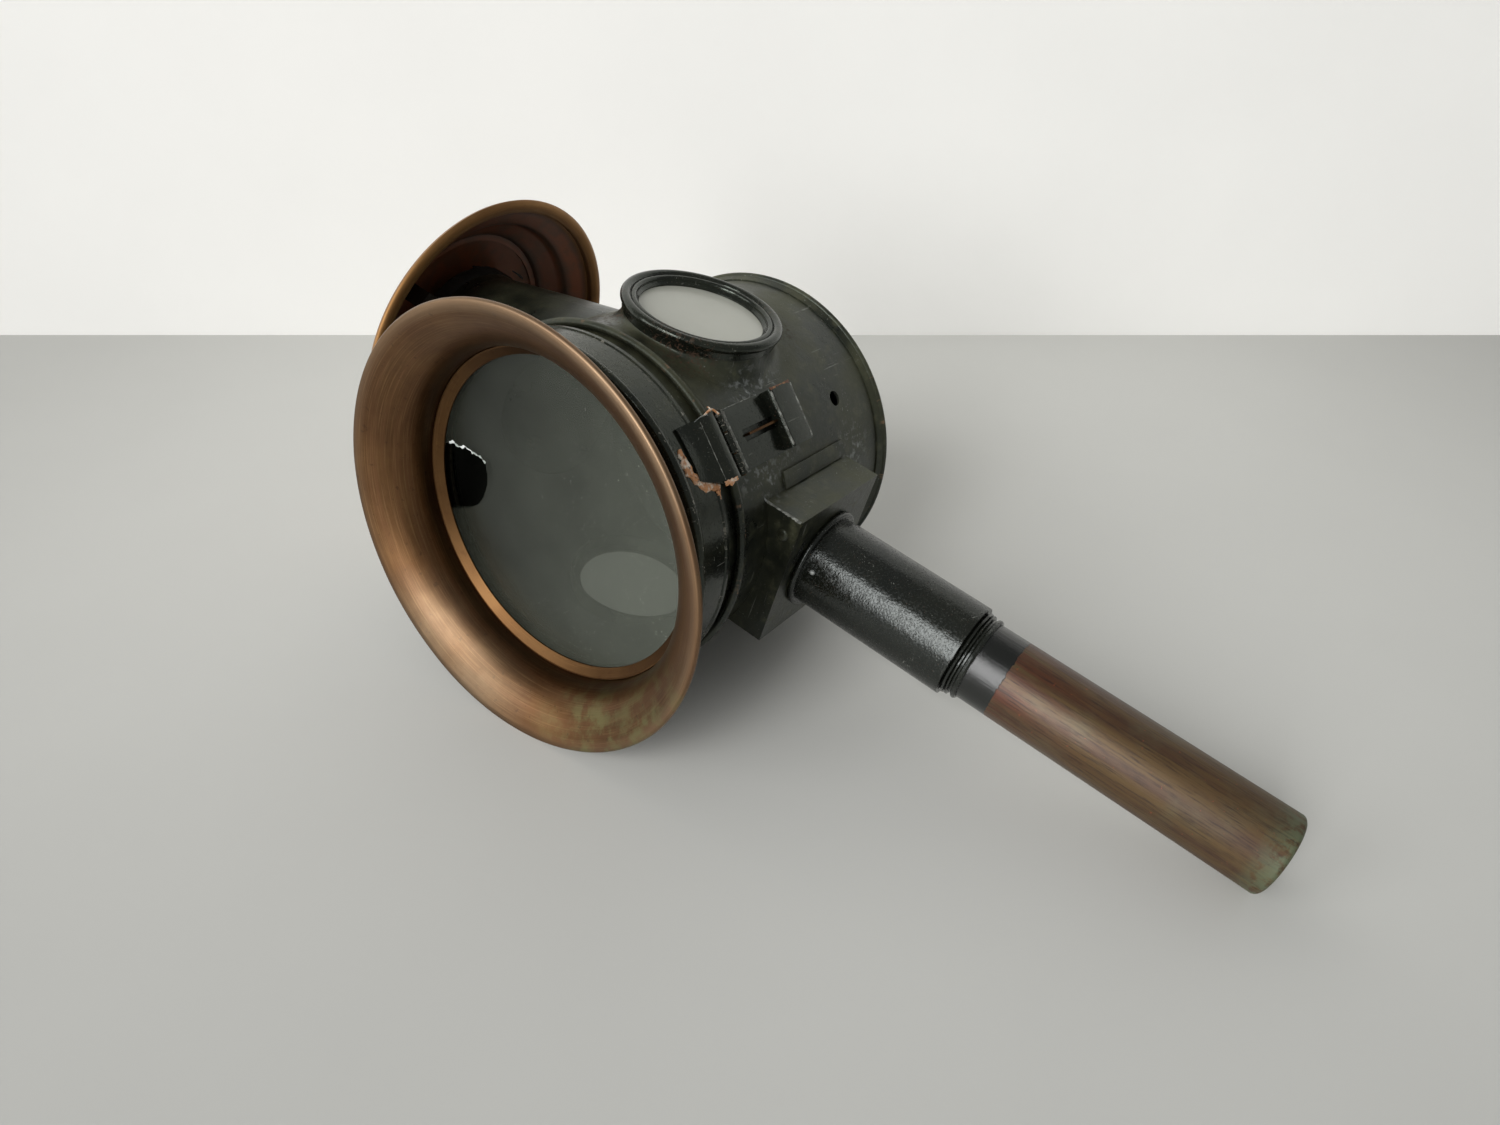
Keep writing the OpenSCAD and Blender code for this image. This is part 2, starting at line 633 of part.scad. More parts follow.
module door_hinge_pin() {
  color("#5a4a34") lay() on_drum(hinge_angle) translate([hinge_h, -hinge_fore, 0]) union() {
    cylinder(r = hinge_pin_r, h = hinge_w + 2, center = true, $fn = 48);
    for (end = [-1, 1]) translate([0, 0, end * (hinge_end + 0.85)])
      cylinder(r = hinge_pin_r + 0.6, h = 1.2, center = true, $fn = 48);
  }
}

// Hasp

hasp_end_z = hasp_w / 2;
hasp_mid_z = hasp_w / 6;
module hasp_leaf() {
  pin = [hasp_h, -hasp_fore, 0];
  over_top = hasp_leaf_r + hasp_sheet;
  outline = [[door_out + door_step + fit, -door_aft - 8.9], [door_out + door_step + fit + hasp_sheet, -door_aft - 8.9],
    [door_out + door_step + fit + hasp_sheet, -door_aft - 2.6], [over_top, -door_aft - 1.6],
    [over_top, -hoop_fore - 0.9], [over_top + 0.6, -hoop_fore - 0.4], [over_top + 0.6, -hoop_fore + 0.4],
    [over_top, -hoop_fore + 0.9], [over_top, -hasp_fore], [hasp_leaf_r, -hasp_fore], [hasp_leaf_r, -door_aft - fit],
    [door_out + door_step + fit, -door_aft - fit]];
  color("#1f211e") lay() difference() {
    union() {
      drum_sector(-hasp_angle, hasp_turn, outline);
      on_drum(-hasp_angle) for (end = [-1, 1])
        translate([hasp_h, -hasp_fore, end * (hasp_end_z + hasp_mid_z + knuckle_gap) / 2])
          cylinder(r = hasp_knuckle_r, h = hasp_end_z - hasp_mid_z - knuckle_gap, center = true, $fn = 48);
    }
    on_drum(-hasp_angle) {
      translate([hasp_h, -hasp_fore, 0]) cylinder(r = hasp_pin_r + fit, h = through, center = true, $fn = 48);
      translate([hasp_h - hasp_knuckle_r - 1, -hasp_fore - hasp_knuckle_r - 0.35, -hasp_mid_z - knuckle_gap])
        cube([3 * hasp_knuckle_r + 2, through, 2 * (hasp_mid_z + knuckle_gap)]);
      translate([drum_r, -door_aft - 8.9, -hasp_end_z]) rotate([0, 90, 0])
        linear_extrude(12) polygon([[-leaf_chamfer - 1, -1], [1, -1], [1, leaf_chamfer + 1]]);
    }
  }
}
module hasp_pin() {
  color("#6b4b32") lay() on_drum(-hasp_angle) translate([hasp_h, -hasp_fore, 0])
    cylinder(r = hasp_pin_r, h = hasp_w + 1.6, center = true, $fn = 48);
}
module hasp_plate() {
  web_half_z = hasp_mid_z - 0.2;
  front = -hasp_fore + hasp_knuckle_r + 0.9;
  outline = [[plate_r, front], [plate_top, front], [plate_top, -hasp_end], [plate_r, -hasp_end]];
  color("#20221f") lay() difference() {
    union() {
      drum_sector(-hasp_angle, hasp_turn, outline);
      on_drum(-hasp_angle) {
        translate([plate_r + 0.2, -hasp_fore, -web_half_z])
          cube([hasp_sheet - 0.4, hasp_knuckle_r + 2.5, 2 * web_half_z]);
        translate([hasp_h, -hasp_fore, 0]) cylinder(r = hasp_knuckle_r, h = 2 * hasp_mid_z, center = true, $fn = 48);
      }
    }
    on_drum(-hasp_angle) {
      translate([hasp_h, -hasp_fore, 0]) cylinder(r = hasp_pin_r + pin_gap, h = through, center = true, $fn = 48);
      translate([plate_r - 2, -slot_fore, -slot_w / 2]) cube([hasp_sheet + 4, through, slot_w]);
    }
  }
}
module hasp_grip() {
  fore = -hasp_end - grip_l;
  low = plate_top + fit;
  top = plate_top + grip_h;
  outline = [[low, fore], [top, fore], [top, -hasp_end], [low, -hasp_end], [low, -hasp_end - hasp_sheet],
    [top - hasp_sheet, -hasp_end - hasp_sheet], [top - hasp_sheet, fore + hasp_sheet], [low, fore + hasp_sheet]];
  color("#20221f") lay() difference() {
    drum_sector(-hasp_angle - grip_turn / 2, hasp_turn - grip_turn, outline);
    on_drum(-hasp_angle) translate([plate_r, -through / 2, -slot_w / 2]) cube([blade_notch - plate_r, through, slot_w]);
  }
}
module catch_blade() {
  color("#a5764a") lay() on_drum(-hasp_angle) difference() {
    translate([drum_r / 2, -slot_fore + 1.2, -blade_t / 2])
      cube([blade_top - drum_r / 2, slot_fore - 1.2 - hasp_end - 2.5, blade_t]);
    drum_solid(drum_r + fit);
  }
}

// Candle tube and what it holds

module candle_tube() {
  round_steps = 4;
  start = asin(max(0, 1 - sheet / tube_round));
  corner = [for (i = [0 : round_steps]) let (a = start + (90 - start) * i / round_steps)
    [tube_r - tube_round + tube_round * sin(a), -tube_z + tube_round - tube_round * cos(a)]];
  foot = tube_round < sheet ? [[tube_in, -tube_z]] : [];
  outline = concat(foot, corner, [[tube_r, -tube_top_z], [tube_in, -tube_top_z]]);
  color("#7b5a48") lay() rotate_extrude() polygon(outline);
}
module tube_end_cap() {
  lip = 0.9;
  plug_r = tube_in - fit;
  outline = [[0, -tube_z], [plug_r, -tube_z], [plug_r, -tube_z + plug_l], [plug_r - lip, -tube_z + plug_l],
    [plug_r - lip, -tube_z + end_wall], [0, -tube_z + end_wall]];
  color("#6f5a44") lay() rotate_extrude() polygon(outline);
}
module candle_nozzle() {
  wall = 0.8;
  skirt_r = tube_in - fit;
  outline = [[skirt_r, -tube_top_z - 4], [skirt_r, -tube_top_z + fit], [tube_r, -tube_top_z + fit],
    [tube_r, -tube_top_z + 0.8], [mouth_r + wall, -nozzle_z], [mouth_r, -nozzle_z], [mouth_r, -nozzle_z - 0.9],
    [skirt_r - wall, -tube_top_z], [skirt_r - wall, -tube_top_z - 4]];
  color("#9a7440") lay() rotate_extrude() polygon(outline);
}
module candle() {
  tip_r = mouth_r - 0.7;
  tip_z = nozzle_z + 1.2;
  shoulder = tube_top_z + 1.2;
  outline = [[0, -candle_top_z - candle_l], [candle_r, -candle_top_z - candle_l], [candle_r, -shoulder],
    [tip_r, -tip_z], [1.1, -tip_z], [1.1, -tip_z - 6], [0, -tip_z - 6]];
  color("#e6dec6") lay() rotate_extrude() polygon(outline);
}
module wick() {
  color("#3a3128") lay() translate([0, 0, -nozzle_z - 7.1]) cylinder(r = 1, h = 14, $fn = 24);
}
module spring_follower() {
  rim = tube_in - 0.4;
  outline = [[0, -follower_top_z - follower_t], [spring_r - spring_wire - 0.6, -follower_top_z - follower_t],
    [spring_r - spring_wire - 0.6, -follower_top_z - follower_t + 1.2], [rim, -follower_top_z - follower_t + 1.2],
    [rim, -follower_top_z], [0, -follower_top_z]];
  color("#8d7a55") lay() rotate_extrude() polygon(outline);
}

// The spring is one unbroken coil
spring_sides = 6;
rings_per_turn = 8;
spring_rings = spring_turns * rings_per_turn;
spring_height = spring_low_z - spring_top_z - 2 * spring_wire;
function spring_point(i, k) = let (
    a = 360 * i / rings_per_turn,
    b = 360 * k / spring_sides,
    r = spring_r + spring_wire * cos(b),
    z = -spring_low_z + spring_wire + spring_height * i / spring_rings + spring_wire * sin(b))
  [r * cos(a), r * sin(a), z];
// Least gap from one turn to the next, measured on the points
spring_gap = min([for (i = [0 : rings_per_turn]) for (k = [0 : spring_sides - 1]) for (j = [0 : spring_sides - 1])
  norm(spring_point(i, k) - spring_point(i + rings_per_turn, j))]);
module candle_spring() {
  n = spring_sides;
  points = [for (i = [0 : spring_rings]) for (k = [0 : n - 1]) spring_point(i, k)];
  wall_a = [for (i = [0 : spring_rings - 1]) for (k = [0 : n - 1])
    [i * n + k, (i + 1) * n + k, i * n + (k + 1) % n]];
  wall_b = [for (i = [0 : spring_rings - 1]) for (k = [0 : n - 1])
    [i * n + (k + 1) % n, (i + 1) * n + k, (i + 1) * n + (k + 1) % n]];
  first = [for (k = [1 : n - 2]) [0, k, k + 1]];
  last = [for (k = [1 : n - 2]) [spring_rings * n, spring_rings * n + k + 1, spring_rings * n + k]];
  color("#7f8480") lay() polyhedron(points = points, faces = concat(wall_a, wall_b, first, last));
}

echo(least_gap_between_turns = spring_gap);

drum_shell();
front_hoop();
back_plate();
rear_rim();
tall_window_neck();
tall_window_saddle();
tall_window_seat();
tall_window_glass();
tall_window_ring();
low_window_neck();
low_window_seat();
low_window_glass();
low_window_ring();
chimney_neck();
cap_legs();
cap_skirt();
cap_crown();
stem_box();
box_flange_right();
box_flange_left();
stem_root_ring();
socket_tube();
upper_guide();
socket_collar();
reflector();
reflector_rivet();
catch_blade();
drum_hinge_leaf();
door_hinge_pin();
door_ring();
bezel();
glass_ring();
front_glass();
glass_seat();
door_hinge_leaf();
hasp_leaf();
hasp_pin();
hasp_plate();
hasp_grip();
candle_tube();
tube_end_cap();
candle_nozzle();
candle();
wick();
spring_follower();
candle_spring();
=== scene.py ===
"""Looks for a candle carriage lamp that lies on its side.

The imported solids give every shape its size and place. This file gives them their finishes and adds
what the solids leave out: the spun copper sheets, solder, loose wire ends, broken glass and dust.
"""

import json
import math
import random

import bmesh
import bpy
from bpy.props import FloatProperty, FloatVectorProperty, IntProperty, PointerProperty
from bpy.types import Operator, Panel, PropertyGroup
from mathutils import Matrix, Vector


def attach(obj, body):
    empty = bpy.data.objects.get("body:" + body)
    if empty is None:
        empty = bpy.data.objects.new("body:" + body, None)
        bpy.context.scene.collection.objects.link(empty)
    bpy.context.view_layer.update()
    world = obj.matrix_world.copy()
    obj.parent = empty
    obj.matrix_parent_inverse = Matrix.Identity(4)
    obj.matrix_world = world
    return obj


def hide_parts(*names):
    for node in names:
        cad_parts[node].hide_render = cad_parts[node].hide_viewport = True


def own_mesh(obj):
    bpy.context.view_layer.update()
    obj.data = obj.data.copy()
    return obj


bl_info = {
    "name": "Carriage lamp",
    "version": (1, 0, 0),
    "blender": (4, 5, 0),
    "location": "3D View > Sidebar > Lamp",
    "description": "Finishes and fine pieces of a japanned candle lamp",
    "category": "Object",
}

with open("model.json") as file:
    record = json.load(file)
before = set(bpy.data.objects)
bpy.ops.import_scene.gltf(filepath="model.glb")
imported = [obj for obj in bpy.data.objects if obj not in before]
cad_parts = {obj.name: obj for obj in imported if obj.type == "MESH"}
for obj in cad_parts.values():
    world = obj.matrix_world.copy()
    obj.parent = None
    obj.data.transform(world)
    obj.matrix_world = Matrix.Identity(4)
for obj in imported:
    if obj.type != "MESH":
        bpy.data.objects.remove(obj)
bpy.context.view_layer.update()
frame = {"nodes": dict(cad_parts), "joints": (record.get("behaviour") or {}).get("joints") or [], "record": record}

# The upright lamp, found from the frame: X runs to the tall window, Y to the back, Z up the chimney,
# and the origin is where the drum's axis crosses the stem's
MM = 0.001
JOINTS = {joint["name"]: joint for joint in frame["joints"]}
STEM_MOUNT_BELOW = 100.8 * MM
UP = -Vector(JOINTS["candle_tube_slide"]["axis"]).normalized()
BACK = Vector(JOINTS["front_door_hinge"]["axis"]).cross(UP).normalized()
SIDE = BACK.cross(UP)
CENTRE = Vector(frame["record"]["mounts"][0]["pos_m"]) + UP * STEM_MOUNT_BELOW
LAMP = Matrix.Translation(CENTRE) @ Matrix((SIDE, BACK, UP)).transposed().to_4x4()
# Pieces turned about the drum's axis are drawn about local Z and tipped back onto it
DRUM = LAMP @ Matrix.Rotation(-math.pi / 2, 4, "X")

# Sizes of the pieces that are made here, in mm, as in the solids
BEZEL_MID_R = 60.0
BEZEL_BACK = -60.6
FLARE_START = -68.6
BEZEL_EDGE_R = 75.6
BEZEL_EDGE = -85.3
BEZEL_SHEET = 1.1
FLARE_TURN = math.radians(58)
EDGE_WIRE = 1.2
SPRING_R = 11.3
SPRING_WIRE = 0.8
SPRING_TURNS = 13
SPRING_TOP = -187.35
SPRING_LOW = -239.7

CAP_LIP_R = 59.7
CAP_LIP_Z = 99.4
CAP_LIP_WIDE = 2.6
CAP_LIP_DEEP = 2.0
GLASS_FACE = -63.1
GLASS_BACK = -60.65
GLASS_R = 58.9
# The broken-out piece of the front glass, as corners (x, z) from the rim round to the rim
BREAK = ((-1.6, 55.4), (0.9, 52.3), (0.5, 49.1), (2.3, 45.6), (2.1, 41.5), (2.5, 38.0), (1.3, 35.6), (-2.2, 33.9),
         (-7.0, 33.4), (-12.5, 34.3), (-17.5, 36.8), (-21.8, 41.2), (-25.3, 46.6))
RAGGED_CORNERS = 7
# The side window's flared foot
WINDOW_Y = -7.3
WINDOW_NECK_R = 26.55
WINDOW_FLARE = 4.9
WINDOW_FLARE_TOP = 61.4
NECK_END_R = 27.3
NECK_END_LOW = 109.0
NECK_END_Z = 116.6
DRUM_R = 60.2
BOX_HALF = 26.4
SOCKET_R = 17.0
# The hasp's leaf: a bent sheet over the door's edge and the hoop, rolled round the pin. Its angle and turn
# are in degrees round the drum, and the rest is in mm.
LEAF_AT = -42.0
LEAF_TURN = 19.6
LEAF_FRONT = -58.4
LEAF_LOW_R = 62.4
LEAF_HIGH_R = 64.5
LEAF_STEP = (-56.0, -45.0)
LEAF_SHEET = 0.8
# The corner that is cut off its lower front end: where the cut starts, across, and how steep it is
LEAF_CHAMFER = -6.6
CHAMFER_SLOPE = 2.2
# Where the sheet drops behind the drum's hoop, as (radius, place), before it is rolled round the pin
LEAF_DROP = ((64.5, -43.6), (64.15, -43.0), (63.4, -42.5), (62.4, -42.2), (61.6, -41.5), (61.4, -40.5))
PIN_R = 62.9
PIN_AT = -39.5
ROLL_R = 1.45
# The hasp's grip: a channel bent out of sheet, as corners (radius, place) and the radius of its bends
GRIP = ((61.2, -12.5), (65.2, -12.6), (65.2, -0.9), (61.2, -0.9))
GRIP_BEND = 0.9
GRIP_TURN = 18.8
# The leaf hugs the door ring up to the first place and lies flat from the second one on, like the hinge
LEAF_FLAT = (-58.0, -51.0)
KNUCKLE_GAP = 3.8

# The photograph's camera, on the upright lamp
EYE = Vector((201.775, -278.140, -171.261)) * MM
VIEW_RIGHT = Vector((0.261098, 0.566249, -0.781786))
VIEW_UP = Vector((0.766522, 0.370651, 0.524464))
SENSOR = 36.0
FOCAL_PIXELS = 992.03
PHOTO_WIDTH = 1500
# The floor meets the backdrop on the line through these two points
WALL_LEFT = Vector((-0.5878, -0.0292, 0.0))
WALL_RIGHT = Vector((0.1988, 0.6132, 0.0))
# The soft lights, as (place, width, height, share of the power). The stem's long highlight says where the bright
# one stands, and the bezel's sheen shows a dimmer one to the left of it.
WINDOWS = (("window", Vector((0.2, -3.5, 1.8)), 1.5, 3.2, 1.0), ("side window", Vector((-1.75, -2.75, 1.4)), 1.4, 2.2, 0.26))
WALL_HIGH = 0.75
# Painted light on the stage: the floor's colour is lightest at this place, a painted pool of light, and darkens away
# from it over these distances and by this share, as painted shade. The wall's colour is darker at its left end,
# painted shade, as (from, to) along its foot, and the share.
FLOOR_LIGHT = Vector((-0.06, 0.14, 0.0))
FLOOR_FADE = (0.14, 0.62)
FLOOR_PAINTED_SHADE = 0.34
WALL_FADE = (-0.62, 0.12)
WALL_PAINTED_SHADE = 0.25
WINDOW_TARGET = Vector((0.0, 0.1, 0.06))


def linear(colour):
    """An sRGB hex colour as the linear colour that a shader works in."""
    parts = [int(colour[i:i + 2], 16) / 255 for i in (1, 3, 5)]
    return tuple(c / 12.92 if c <= 0.04045 else ((c + 0.055) / 1.055) ** 2.4 for c in parts) + (1.0,)


def add(tree, kind, links=None, out=0, **settings):
    """Adds a node with its settings, links or sets its inputs, and gives the output asked for."""
    made = tree.nodes.new(kind)
    for name, value in settings.items():
        setattr(made, name, value)
    for key, value in (links or {}).items():
        if isinstance(value, bpy.types.NodeSocket):
            tree.links.new(value, made.inputs[key])
        else:
            made.inputs[key].default_value = value
    return made.outputs[out] if len(made.outputs) else made


class Looks(PropertyGroup):
    """Colours of the lamp's finishes and of the stage."""

    varnish: FloatVectorProperty(
        name="Varnish", description="Black japan under its dust", subtype="COLOR", size=3,
        default=linear("#121410")[:3], min=0, max=1)
    dust: FloatVectorProperty(
        name="Dust", description="Dull film on the varnish", subtype="COLOR", size=3,
        default=linear("#4c4c38")[:3], min=0, max=1)
    copper: FloatVectorProperty(
        name="Copper", description="Aged copper of the bezel and the cap", subtype="COLOR", size=3,
        default=linear("#684a2c")[:3], min=0, max=1)
    brass: FloatVectorProperty(
        name="Brass", description="Dull brass of the ring in front of the glass", subtype="COLOR", size=3,
        default=linear("#5b4229")[:3], min=0, max=1)
    floor: FloatVectorProperty(
        name="Floor", description="Pale floor", subtype="COLOR", size=3,
        default=linear("#d8d8d3")[:3], min=0, max=1)
    wall: FloatVectorProperty(
        name="Backdrop", description="White backdrop", subtype="COLOR", size=3,
        default=linear("#fdfcf8")[:3], min=0, max=1)


class Sizes(PropertyGroup):
    """Sizes of the pieces made here, and the light."""

    spin_segments: IntProperty(
        name="Segments", description="Steps round a spun sheet", default=288, min=48, max=512)
    ripple: FloatProperty(
        name="Ripple", description="How uneven the hand-spun sheets are", default=0.16 * MM,
        min=0, max=1 * MM, unit="LENGTH")
    coil_wire: FloatProperty(
        name="Spring wire", description="Radius of the candle spring's wire", default=SPRING_WIRE * MM,
        min=0.3 * MM, max=1 * MM, unit="LENGTH")
    softbox: FloatProperty(
        name="Window", description="Power of the soft light in front", default=130.0, min=0, max=2000, unit="POWER")
    fill: FloatProperty(
        name="Fill", description="Brightness of the room's soft light", default=0.26, min=0, max=2)


# Patterns that the finishes share. Every one works on the place on the upright lamp, in mm.

def begin(name):
    """A new material, its node tree, the place on the upright lamp in mm, and the surface's own normal."""
    made = bpy.data.materials.new(name)
    made.use_nodes = True
    tree = made.node_tree
    upright = LAMP.inverted()
    coords = add(tree, "ShaderNodeTexCoord", out="Object")
    at = add(tree, "ShaderNodeMapping", {
        "Vector": coords, "Location": upright.translation / MM,
        "Rotation": upright.to_euler(), "Scale": (1 / MM,) * 3})
    return made, tree, at, coords.node.outputs["Normal"]


def patches(tree, at, size, low, high, detail=5.0, rough=0.6):
    """0 to 1 in patches about size mm wide. The nearer low is to high, the sharper their edges."""
    cloud = add(tree, "ShaderNodeTexNoise", {
        "Vector": at, "Scale": 1 / size, "Detail": detail, "Roughness": rough})
    return add(tree, "ShaderNodeMapRange", {0: cloud, 1: low, 2: high}, interpolation_type="SMOOTHSTEP")


def round_place(tree, at, axis):
    """The way out from an axis, the distance from it and the place along it."""
    flat = add(tree, "ShaderNodeVectorMath", {0: at, 1: [1 - a for a in axis]}, operation="MULTIPLY")
    radius = add(tree, "ShaderNodeVectorMath", {0: flat}, "Value", operation="LENGTH")
    along = add(tree, "ShaderNodeVectorMath", {0: at, 1: axis}, "Value", operation="DOT_PRODUCT")
    return flat, radius, along


def round_axis(tree, at, axis, length, width):
    """A place whose noise runs in streaks round an axis, length turns long and width mm wide."""
    flat, radius, along = round_place(tree, at, axis)
    across = add(tree, "ShaderNodeMath", {0: radius, 1: along}, operation="SUBTRACT")
    row = add(tree, "ShaderNodeVectorMath", {0: axis, "Scale": 1 / width}, operation="SCALE")
    rows = add(tree, "ShaderNodeVectorMath", {0: row, "Scale": across}, operation="SCALE")
    way = add(tree, "ShaderNodeVectorMath", {0: flat}, operation="NORMALIZE")
    return add(tree, "ShaderNodeVectorMath", {0: way, 1: (1 / length,) * 3, 2: rows}, operation="MULTIPLY_ADD")


def near(tree, at, points, reach):
    """1 at any of some points on the lamp, and 0 at reach mm from them."""
    share = None
    for point in points:
        off = add(tree, "ShaderNodeVectorMath", {0: at, 1: point}, "Value", operation="DISTANCE")
        here = add(tree, "ShaderNodeMapRange", {0: off, 1: 0.0, 2: reach, 3: 1.0, 4: 0.0})
        share = here if share is None else add(
            tree, "ShaderNodeMath", {0: share, 1: here}, operation="MAXIMUM")
    return share


def along_beads(tree, at, axis, beads, reach):
    """1 on any of some beads round an axis, given as (radius, place along it), and 0 at reach mm off."""
    flat, radius, depth = round_place(tree, at, axis)
    section = add(tree, "ShaderNodeCombineXYZ", {0: radius, 1: depth})
    return near(tree, section, [(r, y, 0.0) for r, y in beads], reach)


def product(tree, first, *others):
    """All the shares multiplied together."""
    for other in others:
        first = add(tree, "ShaderNodeMath", {0: first, 1: other}, operation="MULTIPLY")
    return first


def coats(tree, colour, *layers):
    """Lays (share, colour) layers over a colour, one after another."""
    for share, over in layers:
        colour = add(tree, "ShaderNodeMix", {0: share, 6: colour, 7: over}, 2, data_type="RGBA")
    return colour


def levels(tree, share, low, high):
    """A number that goes from low to high as the share goes from 0 to 1."""
    return add(tree, "ShaderNodeMapRange", {0: share, 3: low, 4: high})


def settle(made, tree, colour, rough, height=None, depth=0.05, metal=0.0, alpha=None, film=0.0):
    """Joins a finish to its shader. Height, from 0 to 1, stands depth mm proud. A film is a clear, greasy skin."""
    shader = tree.nodes["Principled BSDF"]
    shader.inputs["Coat Weight"].default_value = film
    shader.inputs["Coat Roughness"].default_value = 0.32
    tree.links.new(colour, shader.inputs["Base Color"])
    tree.links.new(rough, shader.inputs["Roughness"])
    if isinstance(metal, bpy.types.NodeSocket):
        tree.links.new(metal, shader.inputs["Metallic"])
    else:
        shader.inputs["Metallic"].default_value = metal
    if alpha is not None:
        tree.links.new(alpha, shader.inputs["Alpha"])
    if height is not None:
        bump = add(tree, "ShaderNodeBump", {"Strength": 1.0, "Distance": depth * MM, "Height": height})
        tree.links.new(bump, shader.inputs["Normal"])
    return made


def solid(colour):
    """A colour property with its alpha."""
    return tuple(colour) + (1.0,)


# Finishes

DRUM_AXIS = (0.0, 1.0, 0.0)
STEM_AXIS = (0.0, 0.0, 1.0)
RUST_AT_WINDOW = ((62, -29, -7), (62, -29, -13), (63, 22, -16), (57, -27, 20), (54, -24, 26))
SCUFFS = ((52, -17, -30), (53, -5, -29), (50, -14, -33), (36, -31, -48), (32, -22, -51), (33, -27, -50), (27, 34, -54), (29, 30, -53), (40, -8, -45))
# Beads that stand proud and have lost their varnish in places, as (radius, place along the drum's axis)
WORN_ROLL = ((64.9, -38.8), (64.6, -40.8))
WORN_BEADS = ((64.6, -66.6), (63.3, -43.5), (62.4, -51.5), (62.9, 54.2))


def japan(name, gloss, dusty, rust=(), worn=(), rubs=(), scuffs=1.0, grit=0.3, nick="#84664e", wear=0.61,
          nick_size=(0.045, 1.2), grain=1.5, soot_r=0.0, specks=0.06,
          shine=(0.9, 1.0, 0.88, 1.0)):
    """Japanned tinplate, a black asphalt varnish baked on. It gives a warm black with a broken gloss, a dull
    film where dust lies, brown rust where the varnish has gone, copper-brown nicks and fine pale scratches."""
    looks = bpy.context.scene.lamp_looks
    made, tree, at, normal = begin(name)
    facing_up = add(tree, "ShaderNodeVectorMath", {0: normal, 1: (0, 0, 1)}, "Value", operation="DOT_PRODUCT")
    lie = add(tree, "ShaderNodeMapRange", {0: facing_up, 1: -0.1, 2: 0.95})
    film = product(tree, patches(tree, at, 26, 0.36, 0.66), levels(tree, lie, 0.3, 1.0), dusty)
    grime = product(tree, patches(tree, at, 5, 0.5, 0.72, 9), dusty, 0.6)
    pits = patches(tree, at, 0.7, 0.64, 0.72, 2)
    # Scratches: noise drawn out along two slanting ways, so that only thin lines pass the threshold
    lines = []
    for slant, stretch in (((0.3, 0.9, 0.5), (1.6, 0.05, 1.1)), ((1.1, 0.2, 0.4), (0.06, 1.3, 1.5))):
        drawn = add(tree, "ShaderNodeMapping", {"Vector": at, "Rotation": slant, "Scale": stretch})
        lines.append(patches(tree, drawn, 1.0, 0.69, 0.75, 1))
    scratch = add(tree, "ShaderNodeMath", {0: lines[0], 1: lines[1]}, operation="MAXIMUM")
    scratch = product(tree, scratch, patches(tree, at, 14, 0.5, 0.62), scuffs)
    layers = [(film, solid(looks.dust)), (grime, linear("#54543f")), (product(tree, scratch, 0.6), linear("#8f9088"))]
    if rubs:
        rubbed = product(tree, near(tree, at, rubs, 11.0), patches(tree, at, 2.6, 0.5, 0.66, 8))
        layers.append((product(tree, rubbed, 0.9), linear("#8e9190")))
    bare = patches(tree, at, 0.55, 0.72, 0.76, 1)
    if rust:
        bare = add(tree, "ShaderNodeMath", {
            0: bare, 1: product(tree, near(tree, at, rust, 12.0), patches(tree, at, 1.6, 0.5, 0.6, 9))},
            operation="MAXIMUM")
    layers += [(bare, linear("#3d2d23")), (product(tree, bare, patches(tree, at, 0.8, 0.5, 0.7)), linear("#5a3f2f"))]
    if worn:
        nicks = product(
            tree, along_beads(tree, at, DRUM_AXIS, worn, 2.6),
            patches(tree, round_axis(tree, at, DRUM_AXIS, *nick_size), 1.0, wear, wear + 0.07, 3))
        layers.append((product(tree, nicks, 0.8), linear(nick)))
        bare = add(tree, "ShaderNodeMath", {0: bare, 1: product(tree, nicks, 0.5)}, operation="MAXIMUM")
    if soot_r:
        # Inside this radius lamp smoke has laid a dull black soot
        sooted = add(tree, "ShaderNodeMapRange", {0: round_place(tree, at, DRUM_AXIS)[1], 1: soot_r, 2: soot_r - 0.2})
        layers.append((sooted, linear("#171611")))
        bare = add(tree, "ShaderNodeMath", {0: bare, 1: product(tree, sooted, 1.8)}, operation="MAXIMUM")
    colour = coats(tree, solid(looks.varnish), *layers)
    dull = add(tree, "ShaderNodeMath", {0: film, 1: grime}, operation="MAXIMUM")
    rough = levels(tree, dull, gloss, min(0.75, gloss + 0.32))
    rough = add(tree, "ShaderNodeMath", {0: rough, 1: product(tree, bare, 0.35)}, operation="ADD", use_clamp=True)
    # Dull specks a little under 1 mm wide, which break up a long highlight
    dulled = product(tree, patches(tree, at, 0.8, 0.5, 0.6, 2), specks)
    rough = add(tree, "ShaderNodeMath", {0: rough, 1: dulled}, operation="ADD", use_clamp=True)
    # Orange peel of the brushed varnish, about 3 mm wide, with grit of 0.7 mm in it
    peel = add(tree, "ShaderNodeTexNoise", {"Vector": at, "Scale": 0.35, "Detail": 3.0})
    grain = add(tree, "ShaderNodeTexNoise", {"Vector": at, "Scale": grain, "Detail": 2.0})
    skin = add(tree, "ShaderNodeMath", {0: grain, 1: grit, 2: peel}, operation="MULTIPLY_ADD")
    pitted = add(tree, "ShaderNodeMath", {0: skin, 1: product(tree, pits, 0.5)}, operation="ADD")
    height = add(tree, "ShaderNodeMath", {0: pitted, 1: product(tree, scratch, 0.5)}, operation="SUBTRACT")
    # Asphalt varnish has a green cast in its shine
    tree.nodes["Principled BSDF"].inputs["Specular Tint"].default_value = shine
    return settle(made, tree, colour, rough, height, depth=0.09)


